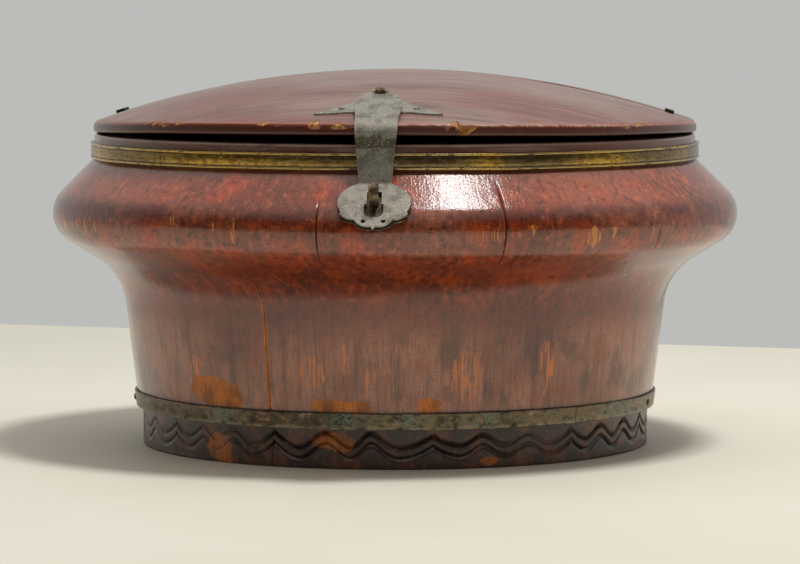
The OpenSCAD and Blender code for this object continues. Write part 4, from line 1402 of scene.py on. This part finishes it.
@dataclass
class Studio:
    """The pale table, the soft room light and the camera at the photograph's angle."""

    table_reach: float = 0.682
    table_slope: float = -0.285
    table_half: float = 3.0
    distance: float = 2.43
    height: float = 0.276
    azimuth: float = 3.3
    pitch: float = 4.3
    focal_px: float = 4150
    axis_px: float = 395
    sensor_mm: float = 36
    lamp_place: tuple[float, float, float] = (0.42, -0.22, 1.9)
    glint_place: tuple[float, float, float] = (0.42, -0.22, 1.95)
    lamp_side: float = 0.36
    lamp_watts: float = 19.5
    glint_watts: float = 6
    aim_z: float = 0.1
    front_colour: str = "#2c2a28"
    back_colour: str = "#bcbdba"
    ceiling_colour: str = "#e4e4e0"
    wall_turn: Pair = (-0.3, 0.5)
    ceiling_turn: Pair = (0.45, 0.95)

    def build(self) -> None:
        """Make the table, the lamps, the room and the camera."""
        self.table()
        self.room()
        self.lamp("ceiling_lamp", self.lamp_place, self.lamp_watts, False)
        self.lamp("ceiling_glint", self.glint_place, self.glint_watts, True)
        self.camera()

    def table(self) -> None:
        """A flat table top whose far edge shows behind the box, a little askew."""
        half, reach, skew = self.table_half, self.table_reach, self.table_slope * self.table_half
        corners = [(-half, -half, 0), (half, -half, 0), (half, reach + skew, 0), (-half, reach - skew, 0)]
        mesh = bpy.data.meshes.new("table_top")
        mesh.from_pydata(corners, [], [(0, 1, 2, 3)])
        mesh.materials.append(CREAM_PAINT.build())
        top = bpy.data.objects.new("table_top", mesh)
        bpy.context.scene.collection.objects.link(top)

    def room(self) -> None:
        """Soft light from all round: grey walls, brighter towards the ceiling, dim behind the camera."""
        world = bpy.data.worlds.new("studio_room")
        world.use_nodes = True
        bpy.context.scene.world = world
        tree = world.node_tree
        way = add(tree, "TexCoord", "Generated", {})
        depth = add(tree, "SeparateXYZ", "Y", {0: way})
        height = add(tree, "SeparateXYZ", "Z", {0: way})
        start, end = self.wall_turn
        behind = add(tree, "MapRange", 0, {"Value": depth, "From Min": start, "From Max": end})
        start, end = self.ceiling_turn
        above = add(tree, "MapRange", 0, {"Value": height, "From Min": start, "From Max": end})
        a, b, out = MIX_SOCKETS["RGBA"]
        walls = {0: behind, a: linear(self.front_colour), b: linear(self.back_colour)}
        wall = add(tree, "Mix", out, walls, data_type="RGBA")
        sky = add(tree, "Mix", out, {0: above, a: wall, b: linear(self.ceiling_colour)}, data_type="RGBA")
        tree.links.new(sky, tree.nodes["Background"].inputs["Color"])

    def lamp(self, name: str, place: tuple[float, float, float], watts: float, mirrored: bool) -> None:
        """A square lamp that shines on the middle of the box.

        Args:
            name: Name of the lamp.
            place: Where it hangs, in metres.
            watts: Its power.
            mirrored: Whether glossy surfaces show it.
        """
        light = bpy.data.lights.new(name, "AREA")
        light.energy, light.size = watts, self.lamp_side
        lamp = bpy.data.objects.new(name, light)
        lamp.location = place
        lamp.visible_glossy = mirrored
        away = np.array(place) - [0, 0, self.aim_z]
        flat = np.hypot(away[0], away[1])
        lamp.rotation_euler = (np.arctan2(flat, away[2]), 0, np.arctan2(away[0], -away[1]))
        bpy.context.scene.collection.objects.link(lamp)

    def camera(self) -> None:
        """A long lens at the photograph's height and distance."""
        data = bpy.data.cameras.new("photo_camera")
        data.sensor_width = self.sensor_mm
        data.lens = self.focal_px / PHOTO_W * data.sensor_width
        data.shift_x = (PHOTO_W / 2 - self.axis_px) / PHOTO_W
        camera = bpy.data.objects.new("photo_camera", data)
        turn = np.radians(self.azimuth)
        camera.location = (self.distance * np.sin(turn), -self.distance * np.cos(turn), self.height)
        camera.rotation_euler = (np.radians(90 - self.pitch), 0, turn)
        bpy.context.scene.collection.objects.link(camera)
        bpy.context.scene.camera = camera


def main() -> None:
    """Build the sub-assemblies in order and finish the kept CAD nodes."""
    logging.basicConfig(level=logging.INFO, format="%(name)s: %(message)s")
    bpy.context.scene.view_settings.view_transform = "Standard"
    Studio().build()
    staves = Staves()
    staves.build(STAVE_LACQUER.build())
    upper, lower = UPPER_BRASS.build(), LOWER_BRASS.build()
    Hoops().build(staves, upper, lower)
    Lid(staves.rim_z).build(LID_LACQUER.build())
    white = WHITE_BRASS.build()
    dress(["hasp", "hasp_plate", "hasp_plate_nails"], white)
    dress(["hinge_lid_leaf", "hinge_lid_nails", "hinge_body_leaf", "hinge_body_nails", "hinge_pin"], white)
    dress(["lock_plate", "lower_hoop_nails"], lower)
    dress(["upper_hoop_nails"], NAIL_BRASS.build())
    dress(["hasp_split_pin", "staple"], BROWN_IRON.build())
    dress(["lid_cramps"], BLACK_IRON.build())
    dress([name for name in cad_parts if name.startswith("floor_board")], BARE_BOARDS.build())
    dress(["stave_pins", "lid_pins"], BAMBOO.build())


if __name__ == "__main__":
    main()
